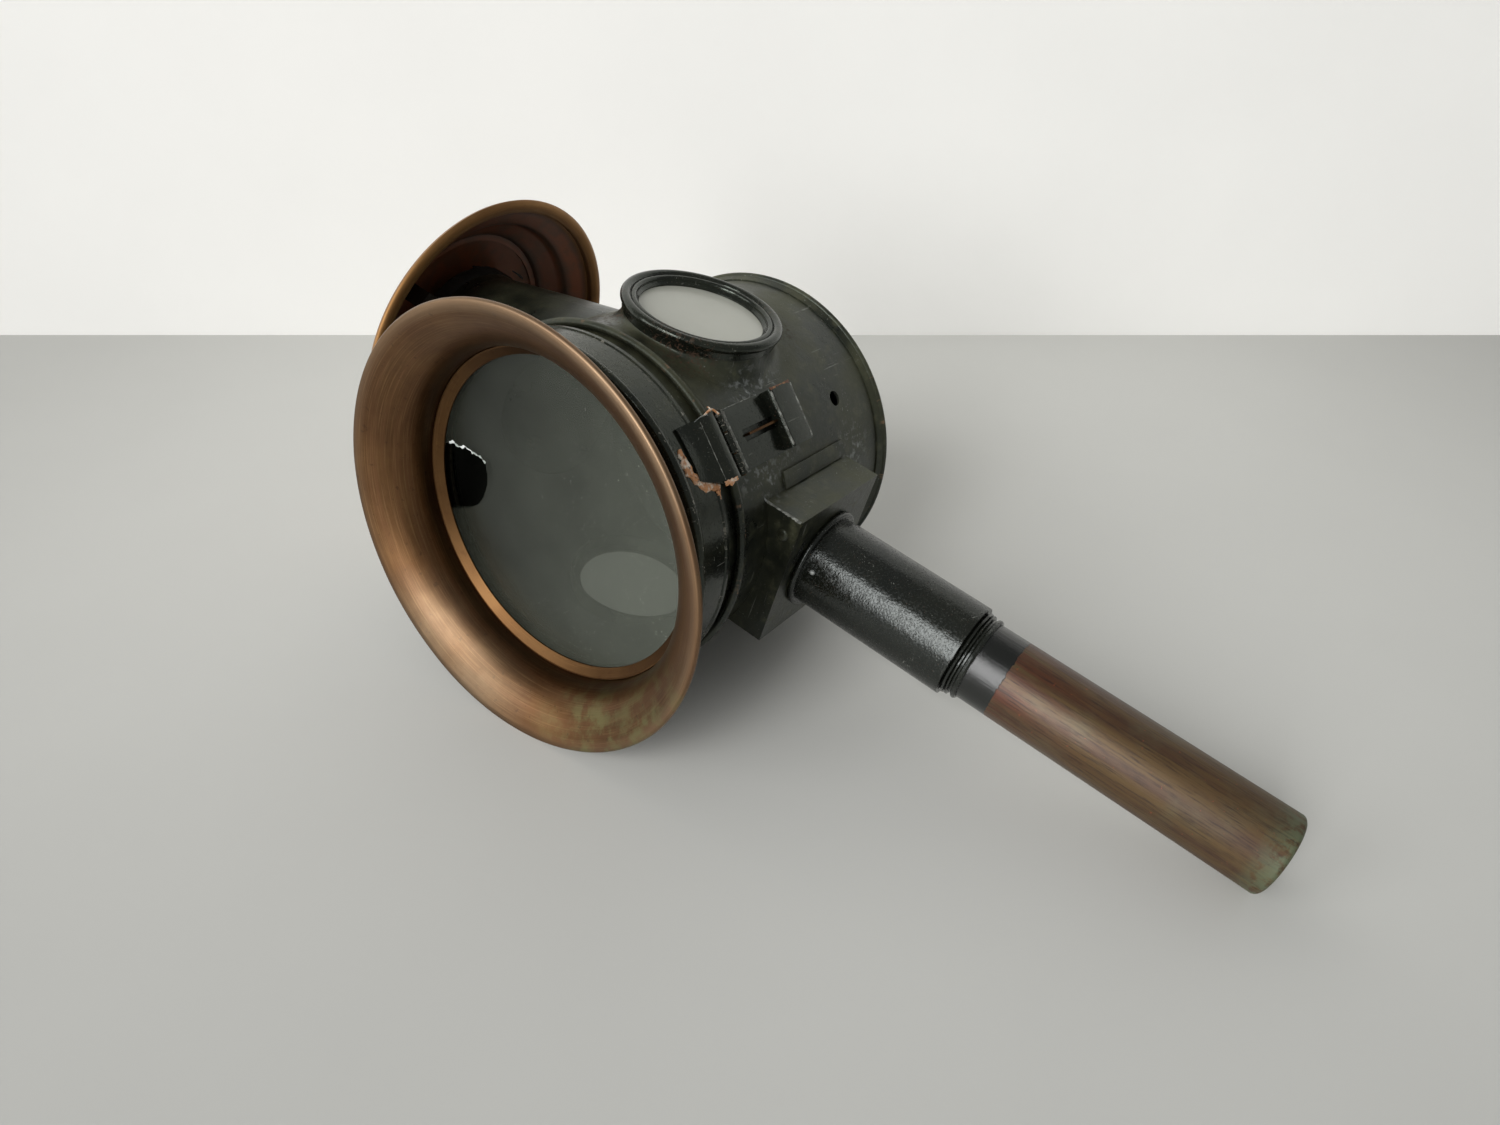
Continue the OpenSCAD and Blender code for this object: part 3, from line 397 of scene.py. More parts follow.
def aged_copper(name, colour, axis, dark, edge, handled, green_at=(), reach=30.0, matt=0.0, sooty=None, film=0.2,
                shine_at=(71.0, -85.0, -26.0), haze_and_sheen_at=()):
    """Spun copper gone brown with age. It gives satin metal with fine marks round its axis, brown and golden
    clouds, darker freckles, a rubbed, paler edge that also carries a painted highlight, brightest towards
    shine_at, and a touch of green where damp has stood. A haze patch adds dust with a painted sheen, and the
    cap's step grooves get soot with painted shade."""
    made, tree, at, normal = begin(name)
    marks = add(tree, "ShaderNodeTexNoise", {
        "Vector": round_axis(tree, at, axis, 0.35, 0.55), "Scale": 1.0, "Detail": 5.0, "Roughness": 0.7})
    fine = add(tree, "ShaderNodeTexNoise", {
        "Vector": round_axis(tree, at, axis, 0.09, 0.25), "Scale": 1.0, "Detail": 3.0})
    clouds = patches(tree, at, 24, 0.34, 0.68)
    streaks = patches(tree, round_axis(tree, at, axis, 0.8, 4.0), 1.0, 0.42, 0.7, 4)
    freckles = patches(tree, at, 2.2, 0.62, 0.72, 3)
    layers = [
        (product(tree, clouds, dark), linear("#50351f")),
        (product(tree, streaks, 0.5), linear("#6f4d33")),
        (product(tree, add(tree, "ShaderNodeMapRange", {0: marks, 1: 0.5, 2: 0.8}), 0.45), linear("#a3835a")),
        (product(tree, freckles, 0.5), linear("#3f2c1e")),
    ]
    # Paler rim: rubbed copper, and a painted highlight that fades away from shine_at, where the light falls on the rim
    rubbed = product(tree, along_beads(tree, at, axis, (edge[:2],), edge[2]), near(tree, at, (shine_at,), 165.0))
    layers.append((product(tree, rubbed, levels(tree, streaks, 0.9, 0.5)), linear(handled)))
    metal = 1.0
    if sooty is not None:
        # Lamp smoke has browned the hollow inside this radius
        inside = add(tree, "ShaderNodeMapRange", {0: round_place(tree, at, axis)[1], 1: sooty, 2: sooty - 1.5})
        layers.append((product(tree, inside, 0.92), linear("#7b4427")))
        layers.append((product(tree, inside, patches(tree, at, 9, 0.45, 0.62), 0.35), linear("#453e2f")))
        # Dark bands at the steps: soot, and painted shade where the step walls fall in shadow
        grooves = along_beads(tree, at, axis, CAP_GROOVES, 3.0)
        layers.append((product(tree, inside, grooves, 0.9), linear("#2b2719")))
        metal = levels(tree, inside, 1.0, 0.2)
    if haze_and_sheen_at:
        # A pale grey patch: a bloom of dust in wax where polishing cloths didn't reach, and a painted sheen that
        # whitens the flare's highlight there
        haze_and_sheen = product(tree, near(tree, at, haze_and_sheen_at, 30.0), levels(tree, clouds, 1.0, 0.6))
        layers.append((product(tree, haze_and_sheen, 0.55), linear("#8a7c66")))
    if green_at:
        damp = product(tree, near(tree, at, green_at, reach), patches(tree, at, 7, 0.42, 0.66))
        layers.append((product(tree, damp, 0.55), linear("#7f8658")))
    colour = coats(tree, solid(colour), *layers)
    rough = levels(tree, fine, 0.30 + matt, 0.52 + matt)
    rough = add(tree, "ShaderNodeMath", {0: rough, 1: product(tree, rubbed, 0.16)}, operation="ADD")
    height = add(tree, "ShaderNodeMath", {0: product(tree, fine, 0.5), 1: product(tree, marks, 0.5)}, operation="ADD")
    return settle(made, tree, colour, rough, height, depth=0.03, metal=metal, film=film)


PAINT_END = -147.2
CAP_GROOVES = ((49.5, 107.5), (41.6, 116.2), (56.8, 101.6))
VEIL_WAY = (0.1, 0.0, -0.99)


def stem_tube(name):
    """The drawn copper candle tube. Its upper end is black with varnish, and the rest is bare and handled: a
    grain lengthwise, red-brown near the varnish, tan where hands have worn it, green at the very end."""
    made, tree, at, normal = begin(name)
    drawn = add(tree, "ShaderNodeVectorMath", {0: at, 1: (1, 1, 0.06)}, operation="MULTIPLY")
    grain = add(tree, "ShaderNodeTexNoise", {"Vector": drawn, "Scale": 1.6, "Detail": 6.0, "Roughness": 0.7})
    height = add(tree, "ShaderNodeSeparateXYZ", {0: at}, "Z")
    ragged = add(tree, "ShaderNodeTexNoise", {"Vector": at, "Scale": 0.8, "Detail": 6.0})
    edge = add(tree, "ShaderNodeMath", {0: ragged, 1: 1.6, 2: height}, operation="MULTIPLY_ADD")
    varnish = add(tree, "ShaderNodeMapRange", {0: edge, 1: PAINT_END + 0.7, 2: PAINT_END + 0.9})
    fresh = add(tree, "ShaderNodeMapRange", {0: height, 1: -185.0, 2: PAINT_END})
    end = add(tree, "ShaderNodeMapRange", {0: height, 1: -232.0, 2: -242.5})
    copper = coats(
        tree, linear("#5a4526"),
        (product(tree, patches(tree, drawn, 5, 0.35, 0.65), 0.8), linear("#462e20")),
        (product(tree, patches(tree, at, 20, 0.4, 0.7), 0.7), linear("#5b523b")),
        (product(tree, fresh, patches(tree, drawn, 3, 0.3, 0.7), 0.9), linear("#55291b")),
        (product(tree, add(tree, "ShaderNodeMapRange", {0: grain, 1: 0.5, 2: 0.66}), 0.8), linear("#2c1f18")),
        (product(tree, patches(tree, at, 1.5, 0.66, 0.72), 0.7), linear("#84452a")),
        (product(tree, end, patches(tree, at, 3, 0.35, 0.55), 0.9), linear("#5f6a50")))
    colour = coats(tree, copper, (varnish, linear("#131512")))
    metal = levels(tree, varnish, 0.4, 0.0)
    dirty = product(tree, add(tree, "ShaderNodeMapRange", {0: height, 1: -170.0, 2: -235.0}), 0.25)
    bare = add(tree, "ShaderNodeMath", {0: levels(tree, grain, 0.3, 0.5), 1: dirty}, operation="ADD")
    rough = add(tree, "ShaderNodeMix", {0: varnish, 2: bare, 3: 0.2})
    relief = add(tree, "ShaderNodeMath", {0: grain, 1: varnish}, operation="ADD")
    return settle(made, tree, colour, rough, relief, depth=0.1, metal=metal, film=0.15)


def dull_brass(name, colour, axis, dark=0.5):
    """Turned brass, long unpolished. It gives an orange-brown metal with turning marks and dark patches."""
    made, tree, at, normal = begin(name)
    marks = add(tree, "ShaderNodeTexNoise", {
        "Vector": round_axis(tree, at, axis, 0.4, 0.4), "Scale": 1.0, "Detail": 4.0, "Roughness": 0.7})
    colour = coats(
        tree, solid(colour),
        (product(tree, patches(tree, at, 12, 0.35, 0.65), dark), linear("#4d3520")),
        (product(tree, patches(tree, at, 2.5, 0.55, 0.7), 0.5), linear("#4a3220")),
        (product(tree, add(tree, "ShaderNodeMapRange", {0: marks, 1: 0.55, 2: 0.8}), 0.5), linear("#8c6a45")))
    return settle(made, tree, colour, levels(tree, marks, 0.28, 0.5), marks, depth=0.03, metal=1.0)


def dusty_glass(name, colour, veil, thin, thick, glow, shine=0.0):
    """Window glass under years of lamp soot and dust. It gives a milky grey-green veil, thicker towards the
    stem and in faint clouds and specks, that also shines faintly with the light from behind it. Where shine is
    set, the pane also glows with an emission, a painted glow."""
    made, tree, at, normal = begin(name)
    reach = add(tree, "ShaderNodeVectorMath", {0: at, 1: VEIL_WAY}, "Value", operation="DOT_PRODUCT")
    slope = add(tree, "ShaderNodeMapRange", {0: reach, 1: -50.0, 2: 45.0})
    clouds = add(tree, "ShaderNodeTexNoise", {"Vector": at, "Scale": 0.05, "Detail": 4.0, "Roughness": 0.62})
    specks = product(tree, patches(tree, at, 0.7, 0.71, 0.78, 1), levels(tree, slope, 0.3, 0.7))
    mist = add(tree, "ShaderNodeMath", {0: product(tree, slope, 0.6), 1: product(tree, clouds, 0.4)}, operation="ADD")
    shade = coats(tree, linear(colour), (mist, linear(veil)), (specks, linear("#b9bcb0")))
    cover = add(tree, "ShaderNodeMath", {
        0: levels(tree, mist, thin, thick), 1: product(tree, specks, 0.35)}, operation="ADD", use_clamp=True)
    settle(made, tree, shade, levels(tree, mist, 0.14, 0.3), alpha=cover)
    # An emission, painted light: the pane glows as if daylight that comes in at the other window lit it from within
    tree.nodes["Principled BSDF"].inputs["Emission Color"].default_value = linear(veil)
    tree.nodes["Principled BSDF"].inputs["Emission Strength"].default_value = shine
    through = add(tree, "ShaderNodeBsdfTranslucent", {"Color": linear(veil)})
    both = add(tree, "ShaderNodeMixShader", {0: glow, 1: tree.nodes["Principled BSDF"].outputs[0], 2: through})
    tree.links.new(both, tree.nodes["Material Output"].inputs["Surface"])
    return made


def dull_metal(name, base, stain, low, high, metal=1.0):
    """Plain sheet or wire that is seldom seen: dull metal with a stain in it."""
    made, tree, at, normal = begin(name)
    stained = patches(tree, at, 4, 0.4, 0.66, 7)
    colour = coats(tree, linear(base), (product(tree, stained, 0.8), linear(stain)))
    return settle(made, tree, colour, levels(tree, stained, low, high), stained, depth=0.02, metal=metal)


def candle_wax(name):
    """Stearine: an off-white, slightly see-through wax with soft runs."""
    made, tree, at, normal = begin(name)
    runs = patches(tree, add(tree, "ShaderNodeVectorMath", {0: at, 1: (1, 1, 0.15)}, operation="MULTIPLY"), 3, 0.4, 0.7)
    colour = coats(tree, linear("#e4dcc2"), (product(tree, runs, 0.4), linear("#c9bd9a")))
    shader = tree.nodes["Principled BSDF"]
    shader.inputs["Subsurface Weight"].default_value = 0.3
    shader.inputs["Subsurface Radius"].default_value = (0.004, 0.003, 0.002)
    return settle(made, tree, colour, levels(tree, runs, 0.4, 0.55), runs, depth=0.2)


def bare_metal(name, colour, pale, metal=0.6):
    """Metal laid bare where varnish or solder has broken away. It gives a raw, grainy, pale edge."""
    made, tree, at, normal = begin(name)
    grain = add(tree, "ShaderNodeTexNoise", {"Vector": at, "Scale": 1.4, "Detail": 6.0, "Roughness": 0.8})
    shade = coats(
        tree, linear(colour), (patches(tree, at, 2.4, 0.46, 0.62, 6), linear(pale)),
        (product(tree, patches(tree, at, 0.9, 0.6, 0.68, 3), 0.8), linear("#3a2418")))
    return settle(made, tree, shade, levels(tree, grain, 0.3, 0.6), grain, depth=0.25, metal=metal)


FINISH_OF = {}


def dress(finish, *names):
    """Gives CAD nodes their finish."""
    for name in names:
        slots = frame["nodes"][name].data.materials
        if len(slots):
            slots[0] = finish
        else:
            slots.append(finish)
        FINISH_OF[name] = finish


# Geometry Nodes

def new_tree(name, *sockets):
    """An empty Geometry Nodes tree with its inputs, given as (name, kind), and its output."""
    tree = bpy.data.node_groups.new(name, "GeometryNodeTree")
    tree.interface.new_socket("Geometry", in_out="INPUT", socket_type="NodeSocketGeometry")
    for label, kind in sockets:
        tree.interface.new_socket(label, in_out="INPUT", socket_type="NodeSocket" + kind)
    tree.interface.new_socket("Geometry", in_out="OUTPUT", socket_type="NodeSocketGeometry")
    return tree, tree.nodes.new("NodeGroupInput").outputs


def close_tree(tree, shape, finish):
    """Ends a tree with smooth faces, real geometry and its finish."""
    smooth = add(tree, "GeometryNodeSetShadeSmooth", {0: shape})
    real = add(tree, "GeometryNodeRealizeInstances", {0: smooth})
    dressed = add(tree, "GeometryNodeSetMaterial", {"Geometry": real, "Material": finish})
    tree.links.new(dressed, tree.nodes.new("NodeGroupOutput").inputs[0])
    return tree


def spinning_tree():
    """Spins a closed outline of (radius, 0, height) points round Z, a little unevenly, as by hand."""
    tree, given = new_tree("spun sheet", ("Segments", "Int"), ("Ripple", "Float"), ("Wave", "Float"), ("Finish", "Material"))
    outline = given["Geometry"]
    count = add(tree, "GeometryNodeAttributeDomainSize", {0: outline}, "Point Count")
    rows = add(tree, "ShaderNodeMath", {0: count, 1: 1}, operation="ADD")
    columns = add(tree, "ShaderNodeMath", {0: given["Segments"], 1: 1}, operation="ADD")
    grid = add(tree, "GeometryNodeMeshGrid", {"Vertices X": columns, "Vertices Y": rows})
    place = add(tree, "GeometryNodeInputPosition")
    cell = add(tree, "ShaderNodeVectorMath", {0: place, 1: (0.5, 0.5, 0)}, operation="ADD")
    turn = add(tree, "ShaderNodeSeparateXYZ", {0: cell}, "X")
    step = add(tree, "ShaderNodeMath", {0: turn.node.outputs["Y"], 1: count}, operation="MULTIPLY")
    whole = add(tree, "ShaderNodeMath", {0: step}, operation="ROUND")
    looped = add(tree, "ShaderNodeMath", {0: whole, 1: count}, operation="MODULO")
    point = add(tree, "GeometryNodeSampleIndex", {
        "Geometry": outline, "Value": add(tree, "GeometryNodeInputPosition"), "Index": looped},
        data_type="FLOAT_VECTOR")
    angle = add(tree, "ShaderNodeMath", {0: turn, 1: math.tau}, operation="MULTIPLY")
    spun = add(tree, "ShaderNodeVectorRotate", {"Vector": point, "Axis": (0, 0, 1), "Angle": angle})
    wide = add(tree, "ShaderNodeTexNoise", {"Vector": spun, "Scale": given["Wave"], "Detail": 1.0}, "Color")
    centred = add(tree, "ShaderNodeVectorMath", {0: wide, 1: (0.5, 0.5, 0.5)}, operation="SUBTRACT")
    push = add(tree, "ShaderNodeVectorMath", {0: centred, "Scale": given["Ripple"]}, operation="SCALE")
    moved = add(tree, "ShaderNodeVectorMath", {0: spun, 1: push}, operation="ADD")
    shaped = add(tree, "GeometryNodeSetPosition", {"Geometry": grid, "Position": moved})
    joined = add(tree, "GeometryNodeMergeByDistance", {"Geometry": shaped, "Distance": 0.01 * MM})
    return close_tree(tree, joined, given["Finish"])


def coil_tree():
    """Winds a wire coil round Z, from the ground up."""
    tree, given = new_tree(
        "coil", ("Turns", "Float"), ("Radius", "Float"), ("Height", "Float"), ("Wire", "Float"), ("Finish", "Material"))
    line = add(tree, "GeometryNodeCurveSpiral", {
        "Resolution": 28, "Rotations": given["Turns"], "Start Radius": given["Radius"],
        "End Radius": given["Radius"], "Height": given["Height"]})
    ring = add(tree, "GeometryNodeCurvePrimitiveCircle", {"Resolution": 12, "Radius": given["Wire"]}, "Curve")
    wire = add(tree, "GeometryNodeCurveToMesh", {"Curve": line, "Profile Curve": ring, "Fill Caps": True})
    return close_tree(tree, wire, given["Finish"])


def wire_tree():
    """Draws a round wire along the mesh line, with a smooth bend at every point."""
    tree, given = new_tree("wire", ("Wire", "Float"), ("Finish", "Material"))
    line = add(tree, "GeometryNodeMeshToCurve", {0: given["Geometry"]})
    soft = add(tree, "GeometryNodeCurveSplineType", {0: line}, spline_type="CATMULL_ROM")
    ring = add(tree, "GeometryNodeCurvePrimitiveCircle", {"Resolution": 8, "Radius": given["Wire"]}, "Curve")
    wire = add(tree, "GeometryNodeCurveToMesh", {"Curve": soft, "Profile Curve": ring, "Fill Caps": True})
    return close_tree(tree, wire, given["Finish"])


def speck_tree():
    """Scatters grains over the faces of a mesh that look up."""
    tree, given = new_tree(
        "specks", ("Density", "Float"), ("Grain", "Float"), ("Seed", "Int"), ("Finish", "Material"))
    facing = add(tree, "ShaderNodeVectorMath", {
        0: add(tree, "GeometryNodeInputNormal"), 1: (0, 0, 1)}, "Value", operation="DOT_PRODUCT")
    upward = add(tree, "FunctionNodeCompare", {0: facing, 1: 0.25}, operation="GREATER_THAN")
    spots = add(tree, "GeometryNodeDistributePointsOnFaces", {
        "Mesh": given["Geometry"], "Selection": upward, "Density": given["Density"], "Seed": given["Seed"]})
    grain = add(tree, "GeometryNodeMeshIcoSphere", {"Radius": given["Grain"], "Subdivisions": 1})
    size = add(tree, "FunctionNodeRandomValue", {2: 0.35, 3: 1.0, "Seed": given["Seed"]}, 1)
    turn = add(tree, "FunctionNodeRandomValue", {0: (0, 0, 0), 1: (3, 3, 3), "Seed": given["Seed"]}, 0, data_type="FLOAT_VECTOR")
    laid = add(tree, "GeometryNodeInstanceOnPoints", {
        "Points": spots, "Instance": grain, "Scale": size, "Rotation": turn})
    return close_tree(tree, laid, given["Finish"])


def realised(name, base, tree, place, sharp=40.0, **inputs):
    """The plain mesh that a tree makes of base, with its place in its points, as a finished object."""
    drawn = bpy.data.objects.new(name + "_drawn", base)
    bpy.context.scene.collection.objects.link(drawn)
    rule = drawn.modifiers.new("rule", "NODES")
    rule.node_group = tree
    for socket in tree.interface.items_tree:
        if socket.in_out == "INPUT" and socket.name in inputs:
            rule[socket.identifier] = inputs[socket.name]
    mesh = bpy.data.meshes.new_from_object(drawn.evaluated_get(bpy.context.evaluated_depsgraph_get()))
    bpy.data.objects.remove(drawn)
    return finished(name, mesh, place, sharp)


def finished(name, mesh, place, sharp=40.0, finish=None):
    """An object at the origin whose mesh is closed, faces outwards and lies in its place."""
    shape = bmesh.new()
    shape.from_mesh(mesh)
    bmesh.ops.remove_doubles(shape, verts=shape.verts, dist=0.002 * MM)
    bmesh.ops.recalc_face_normals(shape, faces=shape.faces)
    shape.to_mesh(mesh)
    shape.free()
    mesh.transform(place)
    mesh.polygons.foreach_set("use_smooth", [True] * len(mesh.polygons))
    mesh.set_sharp_from_angle(angle=math.radians(sharp))
    mesh.name = name
    if finish is not None:
        mesh.materials.clear()
        mesh.materials.append(finish)
    made = bpy.data.objects.new(name, mesh)
    bpy.context.scene.collection.objects.link(made)
    return made


def outline_mesh(points):
    """A closed line of (radius, height) points, in mm, as a mesh for the spinning tree."""
    mesh = bpy.data.meshes.new("outline")
    count = len(points)
    mesh.from_pydata([(r * MM, 0, h * MM) for r, h in points], [(i, (i + 1) % count) for i in range(count)], [])
    return mesh


def sheet_outline(path, thick, bead=0.0, lean=0.0):
    """The outline of a sheet that follows a path of (radius, height) points, with a wire rolled in its end. The
    wire stands off the sheet's middle by lean, so that one side of the sheet can run smoothly over it."""
    sides = []
    for i, point in enumerate(path):
        before = Vector(path[max(i - 1, 0)])
        after = Vector(path[min(i + 1, len(path) - 1)])
        way = (after - before).normalized()
        sides.append(Vector((-way.y, way.x)) * thick / 2)
    left = [Vector(p) + s for p, s in zip(path, sides)]
    right = [Vector(p) - s for p, s in zip(path, sides)]
    if not bead:
        return [tuple(p) for p in left + right[::-1]]
    centre = Vector(path[-1]) + sides[-1].normalized() * lean
    start = math.atan2(*(left[-1] - centre).yx)
    turn = [start - math.radians(a) for a in range(40, 330, 14)]
    rolled = [centre + Vector((math.cos(a), math.sin(a))) * bead for a in turn]
    return [tuple(p) for p in left[:-1] + rolled + right[-2::-1]]


def on_drum(angle, y, radius):
    """A place round the drum, at an angle in degrees above the tall window, in mm."""
    turn = math.radians(angle)
    return Vector((radius * math.cos(turn), y, radius * math.sin(turn)))


def on_leaf(across, y, radius):
    """A place over the hasp's flat sheet, across mm up from its middle line."""
    turn = math.radians(LEAF_AT)
    return on_drum(LEAF_AT, y, radius) + Vector((-math.sin(turn), 0, math.cos(turn))) * across


def polyline(points):
    """An open line through points in mm, as a mesh for the wire tree."""
    mesh = bpy.data.meshes.new("line")
    mesh.from_pydata([Vector(p) * MM for p in points], [(i, i + 1) for i in range(len(points) - 1)], [])
    return mesh


def wire(name, points, thick, finish, body, slot):
    """A round wire through points in mm on the upright lamp."""
    made = realised(name, polyline(points), wire_tree(), LAMP, 60.0, Wire=thick * MM, Finish=finish)
    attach(made, body)
    return made


def ragged_strip(name, stations, normal_at, thick, finish, body, seed):
    """A low ragged ridge along stations of (place, width), with closed ends."""
    chance = random.Random(seed)
    shape = bmesh.new()
    rows = []
    for i, (place, width) in enumerate(stations):
        before, after = stations[max(i - 1, 0)][0], stations[min(i + 1, len(stations) - 1)][0]
        up = normal_at(place).normalized()
        across = (after - before).cross(up).normalized()
        left = -width * chance.uniform(0.35, 0.6)
        right = width * chance.uniform(0.25, 0.85)
        lift = thick * chance.uniform(0.6, 1.2)
        row = []
        for side, height in ((left, -0.05), (left * 0.8, lift), (0.0, lift * 1.15), (right * 0.8, lift * 0.8), (right, -0.05)):
            row.append(shape.verts.new((place + across * side + up * height) * MM))
        rows.append(row)
    for low, high in zip(rows, rows[1:]):
        for k in range(len(low)):
            shape.faces.new((low[k], low[(k + 1) % len(low)], high[(k + 1) % len(low)], high[k]))
    shape.faces.new(rows[0])
    shape.faces.new(rows[-1][::-1])
    mesh = bpy.data.meshes.new(name)
    shape.to_mesh(mesh)
    shape.free()
    made = finished(name, mesh, LAMP, 35.0, finish)
    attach(made, body)
    return made


def along(points, step):
    """(place, width) stations every step mm along corner points that hold a width each."""
    stations = []
    for (a, wide_a), (b, wide_b) in zip(points, points[1:]):
        count = max(1, round((b - a).length / step))
        for i in range(count):
            share = i / count
            stations.append((a.lerp(b, share), wide_a + (wide_b - wide_a) * share))
    return stations + [points[-1]]


def blob(name, centre, radii, finish, body):
    """A small drop at a place on the upright lamp, with its half sizes, in mm."""
    shape = bmesh.new()
    bmesh.ops.create_icosphere(shape, subdivisions=3, radius=1.0)
    mesh = bpy.data.meshes.new(name)
    shape.to_mesh(mesh)
    shape.free()
    mesh.transform(Matrix.Translation(Vector(centre) * MM) @ Matrix.Diagonal(Vector(radii) * MM).to_4x4())
    made = finished(name, mesh, LAMP, 80.0, finish)
    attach(made, body)
    return made


def unit_line():
    """A short line for a tree that draws its own shape."""
    mesh = bpy.data.meshes.new("line")
    mesh.from_pydata([(0, 0, 0), (0, 0, MM)], [(0, 1)], [])
    return mesh


# Pieces

class LAMP_OT_finishes(Operator):
    """Gives every solid its finish"""

    bl_idname = "lamp.finishes"
    bl_label = "Finishes"

    def execute(self, context):
        looks = context.scene.lamp_looks
        body = japan("japanned tinplate, worn", 0.27, 0.85, RUST_AT_WINDOW, WORN_BEADS, SCUFFS)
        gloss = japan("japanned tinplate, glossy", 0.13, 0.35, RUST_AT_WINDOW, WORN_BEADS, nick="#a9a498")
        handled = japan("japanned tinplate, handled", 0.15, 0.1, RUST_AT_WINDOW, scuffs=0.5)
        hinge = japan("japanned hinge, rubbed", 0.15, 0.1, RUST_AT_WINDOW, WORN_ROLL, scuffs=0.5, nick="#9b9488", wear=0.56,
                      nick_size=(0.014, 0.3))
        smooth = japan("japanned cone, satin", 0.27, 0.3, RUST_AT_WINDOW, scuffs=0.4)
        stem = japan("japanned brass tube", 0.15, 0.06, scuffs=0.8, grit=0.8, grain=1.5, specks=0.2,
                     shine=(0.95, 1.0, 0.98, 1.0))
        dress(japan("japanned drum, sooted inside", 0.27, 0.85, RUST_AT_WINDOW, WORN_BEADS, SCUFFS, soot_r=DRUM_R - 0.3),
              "drum_shell")
        dress(body, "back_plate", "rear_rim", "stem_box", "box_flange_right", "box_flange_left",
              "front_hoop", "low_window_neck", "low_window_ring", "tall_window_neck", "tall_window_saddle")
        dress(gloss, "door_ring", "drum_hinge_leaf", "door_hinge_leaf")
        dress(handled, "tall_window_ring", "hasp_grip")
        dress(hinge, "hasp_leaf", "hasp_plate")
        dress(smooth, "chimney_neck")
        dress(stem, "stem_root_ring", "socket_tube", "socket_collar")
        # The bezel's and the cap's pale rims are rubbed copper with a painted highlight, and the bezel's haze patch is
        # dust with a painted sheen
        dress(aged_copper("spun copper, aged", looks.copper, DRUM_AXIS, 0.75, (BEZEL_EDGE_R, BEZEL_EDGE, 3.4), "#ae9478",
                          ((-52, -84, -50), (-30, -84, -66)), 34.0, haze_and_sheen_at=((-69, -86, 32), (-73, -86, 10))), "bezel")
        dress(aged_copper("stamped copper, aged", looks.copper, STEM_AXIS, 0.8, (CAP_LIP_R, CAP_LIP_Z, 5.0), "#d8a468",
                          matt=0.06, sooty=57.0, film=0.08, shine_at=(15.0, -57.0, 99.0)), "cap_skirt", "cap_crown")
        dress(stem_tube("drawn copper tube, worn"), "candle_tube", "tube_end_cap")
        dress(dull_brass("turned brass, dull", looks.brass, DRUM_AXIS), "glass_ring")
        dress(dull_brass("sheet brass, dull", looks.brass, STEM_AXIS, 0.8),
              "catch_blade", "hasp_pin", "door_hinge_pin", "candle_nozzle", "spring_follower", "upper_guide")
        dress(dull_metal("straps, sooted", "#2a211a", "#15110d", 0.5, 0.8, metal=0.3), "cap_legs")
        dress(dusty_glass("front glass, dusty", "#141611", "#5b6056", 0.3, 0.64, 0.03), "front_glass")
        dress(dusty_glass("side glass, dusty", "#b9baad", "#d6d7cc", 0.86, 0.97, 0.1), "tall_window_glass")
        # The under glass glows with painted light, an emission, for daylight through the other window
        dress(dusty_glass("under glass, dusty, painted glow", "#9ba097", "#c3c7bd", 0.7, 0.9, 0.4, shine=0.5), "low_window_glass")
        dress(dull_metal("tinned seat, stained", "#3b392e", "#262217", 0.5, 0.7), "glass_seat", "tall_window_seat",
              "low_window_seat")
        dress(dull_metal("silvered dish, tarnished", "#4a4d47", "#262822", 0.45, 0.65), "reflector")
        dress(dull_metal("steel, dull", "#777a76", "#4c4740", 0.3, 0.5), "reflector_rivet", "candle_spring")
        dress(candle_wax("stearine candle"), "candle")
        dress(dull_metal("cotton wick, charred", "#2a241d", "#0f0d0b", 0.8, 0.95, metal=0.0), "wick")
        return {"FINISHED"}


class LAMP_OT_bezel(Operator):
    """Spins the flared copper bezel"""

    bl_idname = "lamp.bezel"
    bl_label = "Bezel"

    def execute(self, context):
        sizes = context.scene.lamp_sizes
        across = (BEZEL_EDGE_R - BEZEL_MID_R) / (1 - math.cos(FLARE_TURN))
        deep = (BEZEL_EDGE - FLARE_START) / math.sin(FLARE_TURN)
        path = [(BEZEL_MID_R, BEZEL_BACK), (BEZEL_MID_R, BEZEL_BACK - 3)]
        steps = 40
        for i in range(steps + 1):
            t = FLARE_TURN * i / steps
            path.append((BEZEL_MID_R + across * (1 - math.cos(t)), FLARE_START + deep * math.sin(t)))
        outline = sheet_outline(path, BEZEL_SHEET, EDGE_WIRE, lean=EDGE_WIRE - BEZEL_SHEET / 2)
        flare = realised(
            "bezel_spun", outline_mesh(outline), spinning_tree(), DRUM, Segments=sizes.spin_segments,
            Ripple=sizes.ripple * 2, Wave=28.0, Finish=FINISH_OF["bezel"])
        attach(flare, "front_door")
        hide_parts("bezel")
        return {"FINISHED"}


class LAMP_OT_spring(Operator):
    """Winds the candle spring inside the tube"""

    bl_idname = "lamp.spring"
    bl_label = "Candle spring"

    def execute(self, context):
        wire = context.scene.lamp_sizes.coil_wire
        low = (SPRING_LOW + SPRING_WIRE) * MM
        coil = realised(
            "spring_coil", unit_line(), coil_tree(), LAMP @ Matrix.Translation((0, 0, low)),
            Turns=float(SPRING_TURNS), Radius=SPRING_R * MM,
            Height=(SPRING_TOP - SPRING_LOW - 2 * SPRING_WIRE) * MM, Wire=wire, Finish=FINISH_OF["candle_spring"])
        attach(coil, "candle_tube")
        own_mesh(coil)
        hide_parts("candle_spring")
        return {"FINISHED"}


